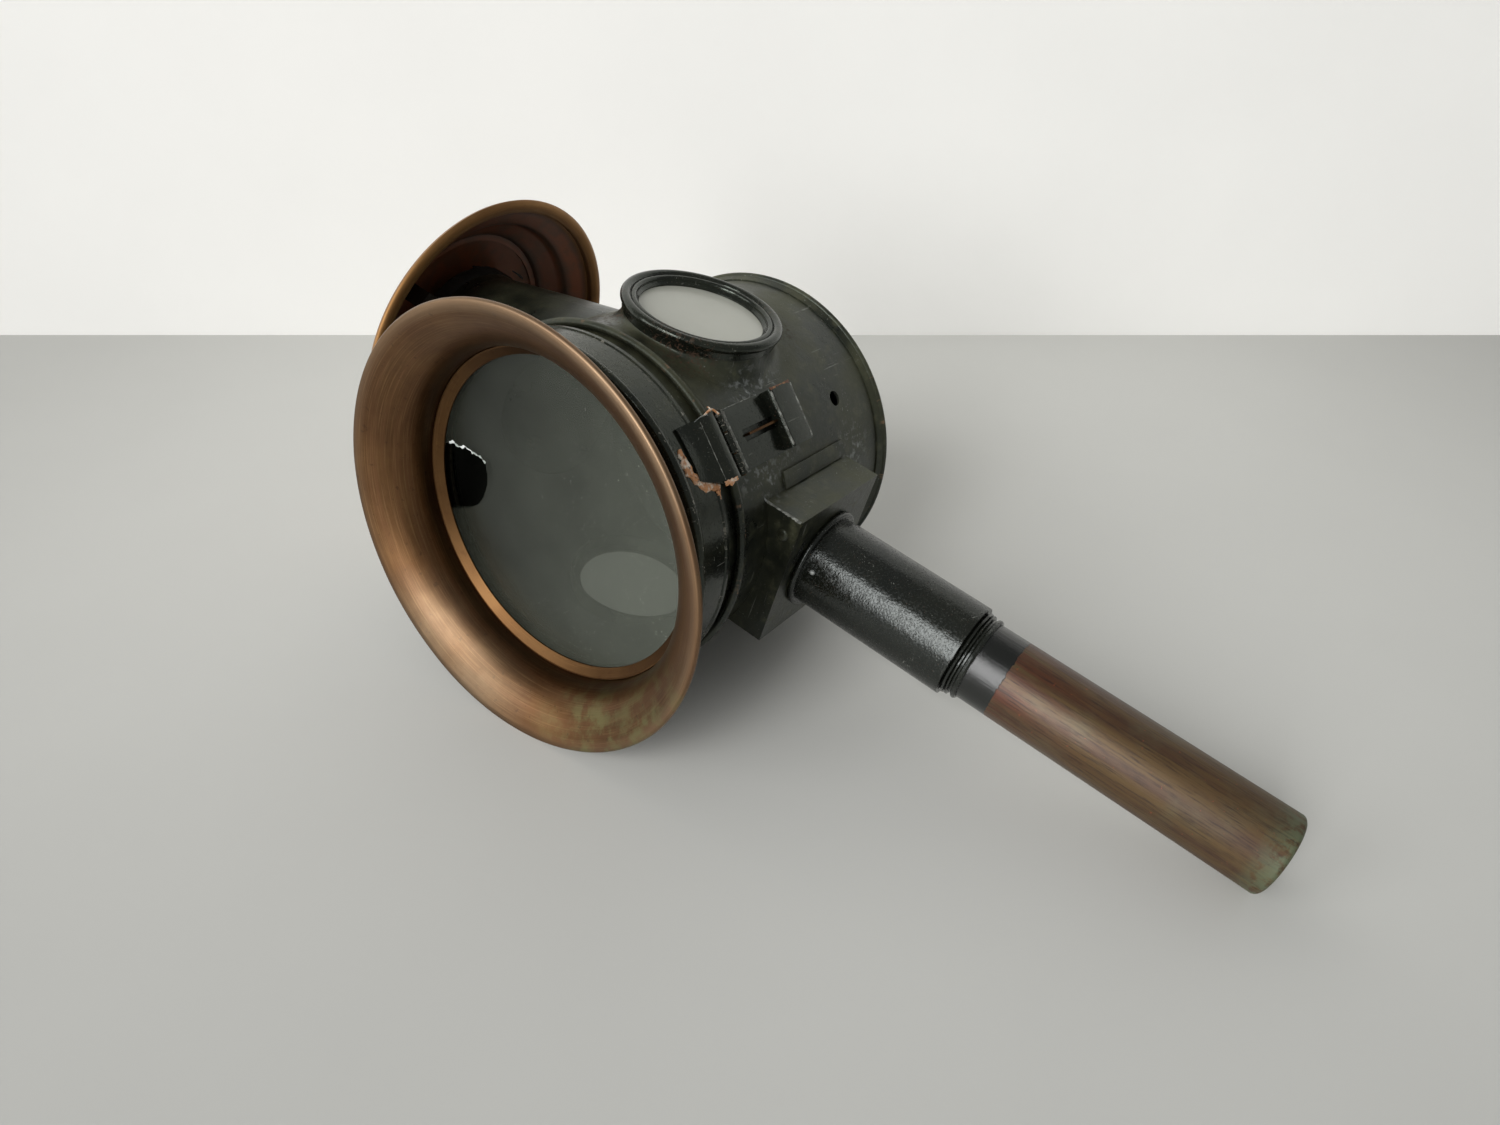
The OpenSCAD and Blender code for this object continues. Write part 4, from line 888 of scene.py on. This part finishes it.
class LAMP_OT_cap(Operator):
    """Spins the stepped copper cap, whose edge is rolled into a broad round lip"""

    bl_idname = "lamp.cap"
    bl_label = "Cap"

    def execute(self, context):
        sizes = context.scene.lamp_sizes
        inner = [(57.2, 101.5), (50.2, 105.6), (49.0, 107.0), (48.4, 110.3), (47.4, 111.4), (42.0, 115.0),
                 (41.0, 116.0), (40.6, 117.2), (38.1, 117.2)]
        roll = []
        steps = 14
        for i in range(steps + 1):
            turn = math.pi * (0.08 + 0.98 * i / steps)
            roll.append((CAP_LIP_R + CAP_LIP_WIDE * math.cos(turn), CAP_LIP_Z - CAP_LIP_DEEP * math.sin(turn)))
        skin = [(CAP_LIP_R + CAP_LIP_WIDE * 0.7, CAP_LIP_Z + 0.9), (58.2, 102.0), (50.8, 106.4), (49.9, 107.5),
                (49.3, 110.7), (48.2, 112.0), (42.7, 115.6), (41.7, 116.4), (41.2, 118.1), (38.1, 118.1)]
        outline = roll + inner + skin[::-1]
        cap = realised(
            "cap_spun", outline_mesh(outline), spinning_tree(), LAMP, Segments=sizes.spin_segments,
            Ripple=sizes.ripple * 1.6, Wave=24.0, Finish=FINISH_OF["cap_skirt"])
        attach(cap, "lamp_body")
        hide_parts("cap_skirt")
        return {"FINISHED"}


class LAMP_OT_flare(Operator):
    """Draws out the flared foot that runs from the side window's neck into the drum"""

    bl_idname = "lamp.flare"
    bl_label = "Window foot"

    def execute(self, context):
        columns, steps = 180, 12
        shape = bmesh.new()
        rings = []
        for i in range(columns):
            turn = math.tau * i / columns
            out = Vector((0, math.cos(turn), math.sin(turn)))
            foot = WINDOW_NECK_R + WINDOW_FLARE
            foot_z = foot * out.z
            foot_x = math.sqrt(DRUM_R ** 2 - foot_z ** 2)
            slope = foot_z * out.z / foot_x
            corner_x = foot_x + slope * WINDOW_FLARE
            line = []
            for k in range(steps + 1):
                t = k / steps
                reach = WINDOW_NECK_R + WINDOW_FLARE * t * t
                x = (1 - t) ** 2 * WINDOW_FLARE_TOP + 2 * t * (1 - t) * corner_x + t * t * (foot_x + 0.04)
                line.append((reach, x))
            neck_x = math.sqrt(DRUM_R ** 2 - (WINDOW_NECK_R * out.z) ** 2)
            line += [(foot, foot_x - 0.4), (WINDOW_NECK_R - 0.1, min(neck_x, corner_x) - 0.5),
                     (WINDOW_NECK_R - 0.1, WINDOW_FLARE_TOP - 0.1)]
            rings.append([shape.verts.new((Vector((x, WINDOW_Y, 0)) + out * reach) * MM) for reach, x in line])
        for here, there in zip(rings, rings[1:] + rings[:1]):
            for k in range(len(here)):
                after = (k + 1) % len(here)
                shape.faces.new((here[k], here[after], there[after], there[k]))
        mesh = bpy.data.meshes.new("window_foot")
        shape.to_mesh(mesh)
        shape.free()
        foot = finished("window_foot", mesh, LAMP, 50.0, FINISH_OF["tall_window_saddle"])
        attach(foot, "lamp_body")
        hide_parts("tall_window_saddle")
        return {"FINISHED"}


class LAMP_OT_collar(Operator):
    """Turns the socket's collar, with its ragged grooves full of old varnish"""

    bl_idname = "lamp.collar"
    bl_label = "Collar"

    def execute(self, context):
        sizes = context.scene.lamp_sizes
        ridges = ((-136.2, 15.1), (-135.5, 15.45), (-134.7, 15.3), (-134.2, 14.4), (-133.6, 14.45), (-133.1, 15.5),
                  (-132.6, 15.55), (-132.2, 14.5), (-131.9, 15.6), (-131.2, 15.8), (-130.75, 14.6), (-130.3, 15.6))
        outline = [(14.35, -136.2)] + [(r, z) for z, r in ridges] + [(15.95, -130.3), (15.95, -112.3), (14.35, -112.3)]
        collar = realised(
            "collar_turned", outline_mesh(outline), spinning_tree(), LAMP, 25.0, Segments=144,
            Ripple=sizes.ripple * 2.4, Wave=300.0, Finish=FINISH_OF["socket_collar"])
        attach(collar, "lamp_body")
        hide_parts("socket_collar")
        return {"FINISHED"}


def leaf_line(rolled):
    """The middle line of the leaf's sheet as (radius, place) points, up to the pin or rolled round it."""
    steps = 26
    low, high = LEAF_STEP
    line = [(LEAF_LOW_R, LEAF_FRONT)]
    for i in range(steps + 1):
        share = i / steps
        smooth = share * share * (3 - 2 * share)
        line.append((LEAF_LOW_R + (LEAF_HIGH_R - LEAF_LOW_R) * smooth, low + (high - low) * share))
    line += LEAF_DROP[:4]
    if not rolled:
        return line
    line += LEAF_DROP[4:]
    for i in range(19):
        turn = math.radians(-90 + 15 * i)
        line.append((PIN_R + ROLL_R * math.sin(turn), PIN_AT + ROLL_R * math.cos(turn)))
    return line


def rounded(corners, bend, steps=6):
    """A line of (radius, place) points through corners, each rounded off by a bend of this radius."""
    line = [corners[0]]
    for before, corner, after in zip(corners, corners[1:], corners[2:]):
        corner = Vector(corner)
        back, on = (Vector(before) - corner).normalized() * bend, (Vector(after) - corner).normalized() * bend
        for i in range(steps + 1):
            t = i / steps
            line.append(tuple(corner + back * (1 - t) ** 2 + on * t ** 2))
    return line + [corners[-1]]


def bent_sheet(name, parts, chamfer, finish, body):
    """A sheet bent along (radius, place) lines, as (from angle, to angle, line) parts: round the drum in front and
    flat further back. A chamfer takes off its front corner."""
    shape = bmesh.new()
    for start, stop, line in parts:
        count = max(2, round((stop - start) / 0.5))
        rows = []
        for i in range(count + 1):
            angle = start + (stop - start) * i / count
            off = PIN_R * math.sin(math.radians(angle - LEAF_AT))
            front = LEAF_FRONT + CHAMFER_SLOPE * max(0.0, LEAF_CHAMFER - off) if chamfer else -math.inf
            top, under = [], []
            for k, (radius, place) in enumerate(line):
                before, after = Vector(line[max(k - 1, 0)]), Vector(line[min(k + 1, len(line) - 1)])
                way = (after - before).normalized() * LEAF_SHEET / 2
                place = max(place, front) if k < len(line) / 2 else place
                flat = min(max((place - LEAF_FLAT[0]) / (LEAF_FLAT[1] - LEAF_FLAT[0]), 0), 1)
                for side, sign in ((top, 1), (under, -1)):
                    y, r = place - way.x * sign, radius + way.y * sign
                    side.append(shape.verts.new(on_drum(angle, y, r).lerp(on_leaf(off, y, r), flat) * MM))
            rows.append((top, under))
        for (top, under), (next_top, next_under) in zip(rows, rows[1:]):
            for k in range(len(line) - 1):
                shape.faces.new((top[k], top[k + 1], next_top[k + 1], next_top[k]))
                shape.faces.new((under[k + 1], under[k], next_under[k], next_under[k + 1]))
            for k in (0, -1):
                shape.faces.new((top[k], next_top[k], next_under[k], under[k]))
        for top, under in (rows[0], rows[-1]):
            for k in range(len(line) - 1):
                shape.faces.new((top[k], top[k + 1], under[k + 1], under[k]))
    bmesh.ops.dissolve_degenerate(shape, edges=shape.edges, dist=0.001 * MM)
    mesh = bpy.data.meshes.new(name)
    shape.to_mesh(mesh)
    shape.free()
    made = finished(name, mesh, LAMP, 32.0, finish)
    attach(made, body)
    return made


class LAMP_OT_leaf(Operator):
    """Bends the hasp's leaf out of sheet, rolls it round the pin, and bends the grip"""

    bl_idname = "lamp.leaf"
    bl_label = "Hasp leaf"

    def execute(self, context):
        rolled, plain = leaf_line(True), leaf_line(False)
        gap = math.degrees(KNUCKLE_GAP / PIN_R)
        start, stop = LEAF_AT - LEAF_TURN / 2, LEAF_AT + LEAF_TURN / 2
        leaf = bent_sheet("leaf_bent", (
            (start, LEAF_AT - gap, rolled), (LEAF_AT - gap + 0.01, LEAF_AT + gap - 0.01, plain),
            (LEAF_AT + gap, stop, rolled)), True, FINISH_OF["hasp_leaf"], "front_door")
        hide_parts("hasp_leaf")
        half = GRIP_TURN / 2
        grip = bent_sheet(
            "grip_bent", ((LEAF_AT - half, LEAF_AT + half, rounded(GRIP, GRIP_BEND)),), False, FINISH_OF["hasp_grip"],
            "hasp")
        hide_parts("hasp_grip")
        return {"FINISHED"}


class LAMP_OT_solder(Operator):
    """Lays the bare solder round the hasp's leaf, the drops on the stem and box, and the loose wire ends"""

    bl_idname = "lamp.solder"
    bl_label = "Solder and wire"

    def execute(self, context):
        copper = bare_metal("solder over copper, bare", "#dc9c68", "#fff0dc", 0.0)
        lead = bare_metal("solder drop, grey", "#8d9190", "#b9bcb8", 0.5)
        sleeve, leaf_top = 62.0, 65.45
        border = [(on_drum(turn, y, sleeve), wide) for turn, y, wide in (
            (-37.6, -60.7, 1.2), (-39.6, -61.0, 3.0), (-42.5, -60.9, 3.4), (-45.6, -60.4, 3.4), (-48.2, -58.8, 3.5),
            (-49.8, -56.0, 3.5), (-50.9, -52.8, 3.3), (-51.6, -50.2, 2.6))]
        ragged_strip("leaf_solder", along(border, 1.0), outward, 0.45, copper, "front_door", 7)
        rim = [(on_drum(-51.2, -51.2, leaf_top), 1.5), (on_drum(-51.4, -47.5, leaf_top), 1.9),
               (on_drum(-51.2, -44.6, leaf_top), 1.2)]
        ragged_strip("leaf_rim_solder", along(rim, 0.6), outward, 0.3, copper, "front_door", 11)
        drip = [(on_drum(-52.6, -51.6, 62.2), 1.6), (on_drum(-54.4, -51.4, sleeve), 0.9), (on_drum(-55.6, -51.5, sleeve), 0.4)]
        ragged_strip("leaf_solder_drip", along(drip, 0.5), outward, 0.35, copper, "front_door", 5)
        wire("leaf_wire", [on_leaf(10.9, -47.0, 64.3), on_leaf(11.6, -45.2, 65.0), on_leaf(11.7, -43.2, 64.9),
                           on_leaf(10.6, -41.9, 64.9), on_leaf(9.6, -41.2, 65.0)], 0.36, copper, "front_door", "copper")
        wire("leaf_wire_end", [on_leaf(11.3, -44.4, 64.8), on_leaf(12.4, -43.6, 64.6), on_leaf(12.9, -42.2, 62.8)],
             0.26, copper, "front_door", "copper")
        wire("stray_fibre", [on_leaf(10.2, -51.6, 63.3), on_leaf(10.9, -49.6, 64.6), on_leaf(11.0, -47.4, 65.0),
                             on_leaf(10.6, -46.0, 64.9)], 0.13, lead, "front_door", "steel")
        raw = bare_metal("copper edge, raw", "#6b432b", "#b98a5f", 0.3)
        ragged_strip("grip_bare_edge", along([(on_leaf(10.3, -12.6, 65.4), 1.0), (on_leaf(10.3, -5.0, 65.4), 0.5),
                                              (on_leaf(10.3, -1.1, 65.4), 1.4)], 0.6), outward, 0.2, raw, "hasp", 37)
        blob("stem_drop", (4.9, -16.6, -74.9), (0.95, 0.8, 1.1), lead, "lamp_body")
        blob("box_drop", (18.3, -26.1, -63.9), (2.3, 0.9, 2.1), FINISH_OF["stem_box"], "lamp_body")
        wire("varnish_curl", [(26.2, -25.4, -50.2), (27.3, -26.3, -51.3), (27.5, -26.7, -53.0), (26.5, -26.5, -54.4)],
             0.3, lead, "lamp_body", "steel")
        # Thin pale lines along the plate's edge, the grip's crest and rear edge, the leaf's crease, the roll's edge and
        # the box's corner: rubbed varnish, and painted highlight lines where these edges catch the light
        worn = bare_metal("edges, rubbed, painted highlight", "#5e6059", "#a9aba3", 0.1)
        wire("plate_edge_highlight", [on_drum(-32.35, -36.6, 62.0), on_drum(-32.3, -26.0, 62.05), on_drum(-32.35, -15.2, 62.0)],
             0.17, worn, "hasp", "copper")
        for name, y, radius, wide, body in (
                ("grip_rear_edge_highlight", -0.85, 65.42, 0.7, "hasp"), ("grip_crest_highlight", -12.55, 65.42, 1.0, "hasp"),
                ("leaf_crease_highlight", -49.6, 64.05, 0.35, "front_door"), ("roll_edge_highlight", -38.1, 64.35, 0.7, "hasp")):
            crest = along([(on_leaf(-9.6, y, radius), wide), (on_leaf(9.6, y, radius), wide)], 0.5)
            ragged_strip(name, crest, outward, 0.14, worn, body, 41)
        # The box's corner: rubbed varnish and a painted highlight line
        edge = [(Vector((BOX_HALF - 0.05, -BOX_HALF + 0.35, z)), wide) for z, wide in (
            (-49.5, 0.6), (-54.0, 0.9), (-60.0, 0.5), (-66.0, 1.0), (-68.6, 0.7))]
        ragged_strip("box_edge_highlight", along(edge, 0.6), outward_corner, 0.12, worn, "lamp_body", 29)
        flake = [(Vector((26.6, 14.6, 108.6)), 1.6), (Vector((24.9, 17.4, 107.6)), 3.4), (Vector((22.6, 20.1, 108.8)), 1.2)]
        soot = dull_metal("flaked varnish, sooted", "#16130f", "#2b241c", 0.6, 0.85, metal=0.0)
        ragged_strip("neck_flake", along(flake, 0.7), level, 0.6, soot, "lamp_body", 31)
        return {"FINISHED"}


def outward(place):
    """The way out from the drum's axis."""
    return Vector((place.x, 0, place.z))


def forward(place):
    """The way out of the front glass."""
    return Vector((0, -1, 0))


def outward_corner(place):
    """The way out of the stem box at its upper front edge."""
    return Vector((1, -1, 0))


def level(place):
    """The way out from the stem's axis."""
    return Vector((place.x, place.y, 0))


class LAMP_OT_breakage(Operator):
    """Chips the front glass, lays a painted glint along its broken edge, and leaves the chimney's end ragged"""

    bl_idname = "lamp.breakage"
    bl_label = "Broken edges"

    def execute(self, context):
        painted_glint = bare_metal("broken glass edge, painted glint", "#a9b3ac", "#e8ecea", 0.0)
        jag = random.Random(3)
        corners = [Vector((x, GLASS_FACE, z)) for x, z in BREAK]
        crack = []
        for i, (here, there) in enumerate(zip(corners, corners[1:])):
            steps = 5 if i < RAGGED_CORNERS else 3
            rough = 0.28 if i < RAGGED_CORNERS else 0.08
            for k in range(steps):
                nudge = Vector((jag.uniform(-rough, rough), 0, jag.uniform(-rough, rough)))
                crack.append(here.lerp(there, k / steps) + nudge)
        first = math.degrees(math.atan2(crack[0].z, crack[0].x))
        last = math.degrees(math.atan2(corners[-1].z, corners[-1].x)) - 360
        rim = [on_drum(first + (last - first) * i / 170, GLASS_FACE, GLASS_R) for i in range(171)]
        outline = crack + [corners[-1]] + rim[::-1]
        shape = bmesh.new()
        face = shape.faces.new([shape.verts.new(place * MM) for place in outline])
        behind = bmesh.ops.extrude_face_region(shape, geom=[face])["geom"]
        moved = [v for v in behind if isinstance(v, bmesh.types.BMVert)]
        bmesh.ops.translate(shape, verts=moved, vec=(0, (GLASS_BACK - GLASS_FACE) * MM, 0))
        bmesh.ops.triangulate(shape, faces=[f for f in shape.faces if len(f.verts) > 4])
        mesh = bpy.data.meshes.new("pane_broken")
        shape.to_mesh(mesh)
        shape.free()
        pane = finished("pane_broken", mesh, LAMP, 25.0, FINISH_OF["front_glass"])
        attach(pane, "front_door")
        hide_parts("front_glass")
        # A pale, raised strip along the break: a painted glint of the broken edge
        edge = [(place, jag.choice((0.2, 0.4, 0.9))) for place in crack[3:5 * RAGGED_CORNERS - 4]]
        ragged_strip("glass_fracture_glint", edge, forward, 0.12, painted_glint, "front_door", 3)
        chance = random.Random(19)
        columns = 220
        shape = bmesh.new()
        rows = []
        top = NECK_END_Z
        for i in range(columns):
            turn = math.tau * i / columns
            if chance.random() < 0.16:
                top = NECK_END_Z + chance.uniform(-2.2, 2.4)
            ragged = top + chance.uniform(-0.35, 0.35)
            way = Vector((math.cos(turn), math.sin(turn), 0))
            wide = NECK_END_R + chance.uniform(0.0, 0.35)
            rows.append([shape.verts.new((way * r + Vector((0, 0, z))) * MM) for r, z in (
                (wide, NECK_END_LOW), (wide + 0.35, NECK_END_LOW + 1.0), (wide + 0.25, ragged), (wide - 0.35, ragged),
                (wide - 0.3, NECK_END_LOW))])
        for low, high in zip(rows, rows[1:] + rows[:1]):
            for k in range(len(low)):
                shape.faces.new((low[k], low[(k + 1) % len(low)], high[(k + 1) % len(low)], high[k]))
        mesh = bpy.data.meshes.new("neck_end")
        shape.to_mesh(mesh)
        shape.free()
        soot = dull_metal("tinplate, sooted and ragged", "#16130f", "#262019", 0.6, 0.85, metal=0.0)
        end = finished("neck_end", mesh, LAMP, 30.0, soot)
        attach(end, "lamp_body")
        return {"FINISHED"}


class LAMP_OT_dust(Operator):
    """Scatters grit and lint over the drum, the box and the socket tube"""

    bl_idname = "lamp.dust"
    bl_label = "Dust"

    def execute(self, context):
        lint = dull_metal("lint and grit", "#9b9c94", "#6d675c", 0.8, 0.95, metal=0.0)
        for name, density, grain in (("drum_shell", 5200.0, 0.22), ("stem_box", 9000.0, 0.2), ("socket_tube", 7000.0, 0.16)):
            carrier = frame["nodes"][name]
            surface = carrier.data.copy()
            surface.transform(carrier.matrix_world)
            keep = bmesh.new()
            keep.from_mesh(surface)
            outer = LAMP.inverted()
            hidden = [f for f in keep.faces if not outside(outer @ f.calc_center_median() / MM, name)]
            bmesh.ops.delete(keep, geom=hidden, context="FACES")
            keep.to_mesh(surface)
            keep.free()
            dust = realised(
                name + "_dust", surface, speck_tree(), Matrix(), 80.0, Density=density, Grain=grain * MM, Seed=23,
                Finish=lint)
            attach(dust, "lamp_body")
        return {"FINISHED"}


def outside(place, name):
    """Whether a face of a solid, by its middle, is one that dust can settle on from outside."""
    if name == "drum_shell":
        return Vector((place.x, place.z)).length > DRUM_R - 0.3
    if name == "stem_box":
        return place.x > BOX_HALF - 0.2
    return place.xy.length > SOCKET_R - 0.3


class LAMP_OT_stage(Operator):
    """Lays the pale floor, hangs the backdrop and the soft light, and sets the camera"""

    bl_idname = "lamp.stage"
    bl_label = "Stage"

    def execute(self, context):
        looks = context.scene.lamp_looks
        sizes = context.scene.lamp_sizes
        line = (WALL_RIGHT - WALL_LEFT).normalized()
        out = Vector((line.y, -line.x, 0))
        reach = 4.0
        corner = WALL_LEFT - line * reach
        far = WALL_RIGHT + line * reach
        floor_points = [corner, corner + out * 2 * reach, far + out * 2 * reach, far]
        rise = Vector((0, 0, WALL_HIGH))
        wall_points = [corner, far, far + rise, corner + rise]
        for name, points, colour, one_sided in (
                ("floor", floor_points, looks.floor, False), ("backdrop", wall_points, looks.wall, True)):
            mesh = bpy.data.meshes.new(name)
            mesh.from_pydata(points, [], [(0, 1, 2, 3)])
            made = bpy.data.objects.new(name, mesh)
            context.scene.collection.objects.link(made)
            mesh.materials.append(stage_paint("painted " + name, colour, one_sided))
        for name, place, wide, high, share in WINDOWS:
            light = bpy.data.lights.new(name, "AREA")
            light.shape = "RECTANGLE"
            light.size, light.size_y = wide, high
            light.energy = sizes.softbox * share
            window = bpy.data.objects.new(name, light)
            window.location = place
            window.rotation_euler = (WINDOW_TARGET - place).to_track_quat("-Z", "Y").to_euler()
            context.scene.collection.objects.link(window)
        world = bpy.data.worlds.new("room")
        world.use_nodes = True
        paint = world.node_tree.nodes["Background"]
        paint.inputs["Color"].default_value = linear("#f6f7f8")
        paint.inputs["Strength"].default_value = sizes.fill
        context.scene.world = world
        context.scene.view_settings.view_transform = "Standard"
        lens = bpy.data.cameras.new("photograph")
        lens.sensor_fit = "HORIZONTAL"
        lens.sensor_width = SENSOR
        lens.lens = FOCAL_PIXELS / PHOTO_WIDTH * SENSOR
        lens.clip_start = 0.01
        eye = bpy.data.objects.new("photograph", lens)
        turned = Matrix((VIEW_RIGHT, VIEW_UP, VIEW_RIGHT.cross(VIEW_UP))).transposed().to_4x4()
        eye.matrix_world = LAMP @ Matrix.Translation(EYE) @ turned
        context.scene.collection.objects.link(eye)
        context.scene.camera = eye
        return {"FINISHED"}


def stage_paint(name, colour, one_sided):
    """Matt paint for the stage, with a faint unevenness and painted shade: the floor darkens away from a painted pool
    of light, and the wall darkens towards its left end. The backdrop lets through what comes from behind.
    """
    made = bpy.data.materials.new(name)
    made.use_nodes = True
    tree = made.node_tree
    place = add(tree, "ShaderNodeTexCoord", out="Object")
    uneven = add(tree, "ShaderNodeTexNoise", {"Vector": place, "Scale": 9.0, "Detail": 5.0})
    shade = coats(tree, solid(colour), (product(tree, uneven, 0.06), (0, 0, 0, 1)))
    if one_sided:
        along_wall = add(tree, "ShaderNodeVectorMath", {
            0: place, 1: (WALL_RIGHT - WALL_LEFT).normalized()}, "Value", operation="DOT_PRODUCT")
        grey = add(tree, "ShaderNodeMapRange", {0: along_wall, 1: WALL_FADE[0], 2: WALL_FADE[1], 3: WALL_PAINTED_SHADE, 4: 0.0})
    else:
        off = add(tree, "ShaderNodeVectorMath", {0: place, 1: FLOOR_LIGHT}, "Value", operation="DISTANCE")
        grey = add(tree, "ShaderNodeMapRange", {
            0: off, 1: FLOOR_FADE[0], 2: FLOOR_FADE[1], 4: FLOOR_PAINTED_SHADE}, interpolation_type="SMOOTHSTEP")
    # Painted shade: darkens the floor away from its painted pool of light, and the wall towards its left end
    shade = coats(tree, shade, (grey, (0, 0, 0, 1)))
    shader = tree.nodes["Principled BSDF"]
    tree.links.new(shade, shader.inputs["Base Color"])
    shader.inputs["Roughness"].default_value = 0.6
    if one_sided:
        behind = add(tree, "ShaderNodeNewGeometry", out="Backfacing")
        clear = add(tree, "ShaderNodeBsdfTransparent")
        both = add(tree, "ShaderNodeMixShader", {0: behind, 1: shader.outputs[0], 2: clear})
        tree.links.new(both, tree.nodes["Material Output"].inputs["Surface"])
    return made


class LAMP_PT_pieces(Panel):
    """Sizes, colours and the pieces in the order they are made"""

    bl_label = "Carriage lamp"
    bl_idname = "LAMP_PT_pieces"
    bl_space_type = "VIEW_3D"
    bl_region_type = "UI"
    bl_category = "Lamp"

    def draw(self, context):
        for group in (context.scene.lamp_looks, context.scene.lamp_sizes):
            for name in group.__annotations__:
                self.layout.prop(group, name)
        for maker in MAKERS:
            self.layout.operator(maker.bl_idname)


MAKERS = (LAMP_OT_finishes, LAMP_OT_stage, LAMP_OT_bezel, LAMP_OT_cap, LAMP_OT_flare, LAMP_OT_collar, LAMP_OT_leaf,
          LAMP_OT_spring, LAMP_OT_solder, LAMP_OT_breakage, LAMP_OT_dust)
CLASSES = (Looks, Sizes, LAMP_PT_pieces) + MAKERS


def register():
    for part in CLASSES:
        bpy.utils.register_class(part)
    bpy.types.Scene.lamp_looks = PointerProperty(type=Looks)
    bpy.types.Scene.lamp_sizes = PointerProperty(type=Sizes)


def unregister():
    del bpy.types.Scene.lamp_looks
    del bpy.types.Scene.lamp_sizes
    for part in reversed(CLASSES):
        bpy.utils.unregister_class(part)


def main():
    register()
    for maker in MAKERS:
        group, name = maker.bl_idname.split(".")
        getattr(getattr(bpy.ops, group), name)()


if __name__ == "__main__":
    main()
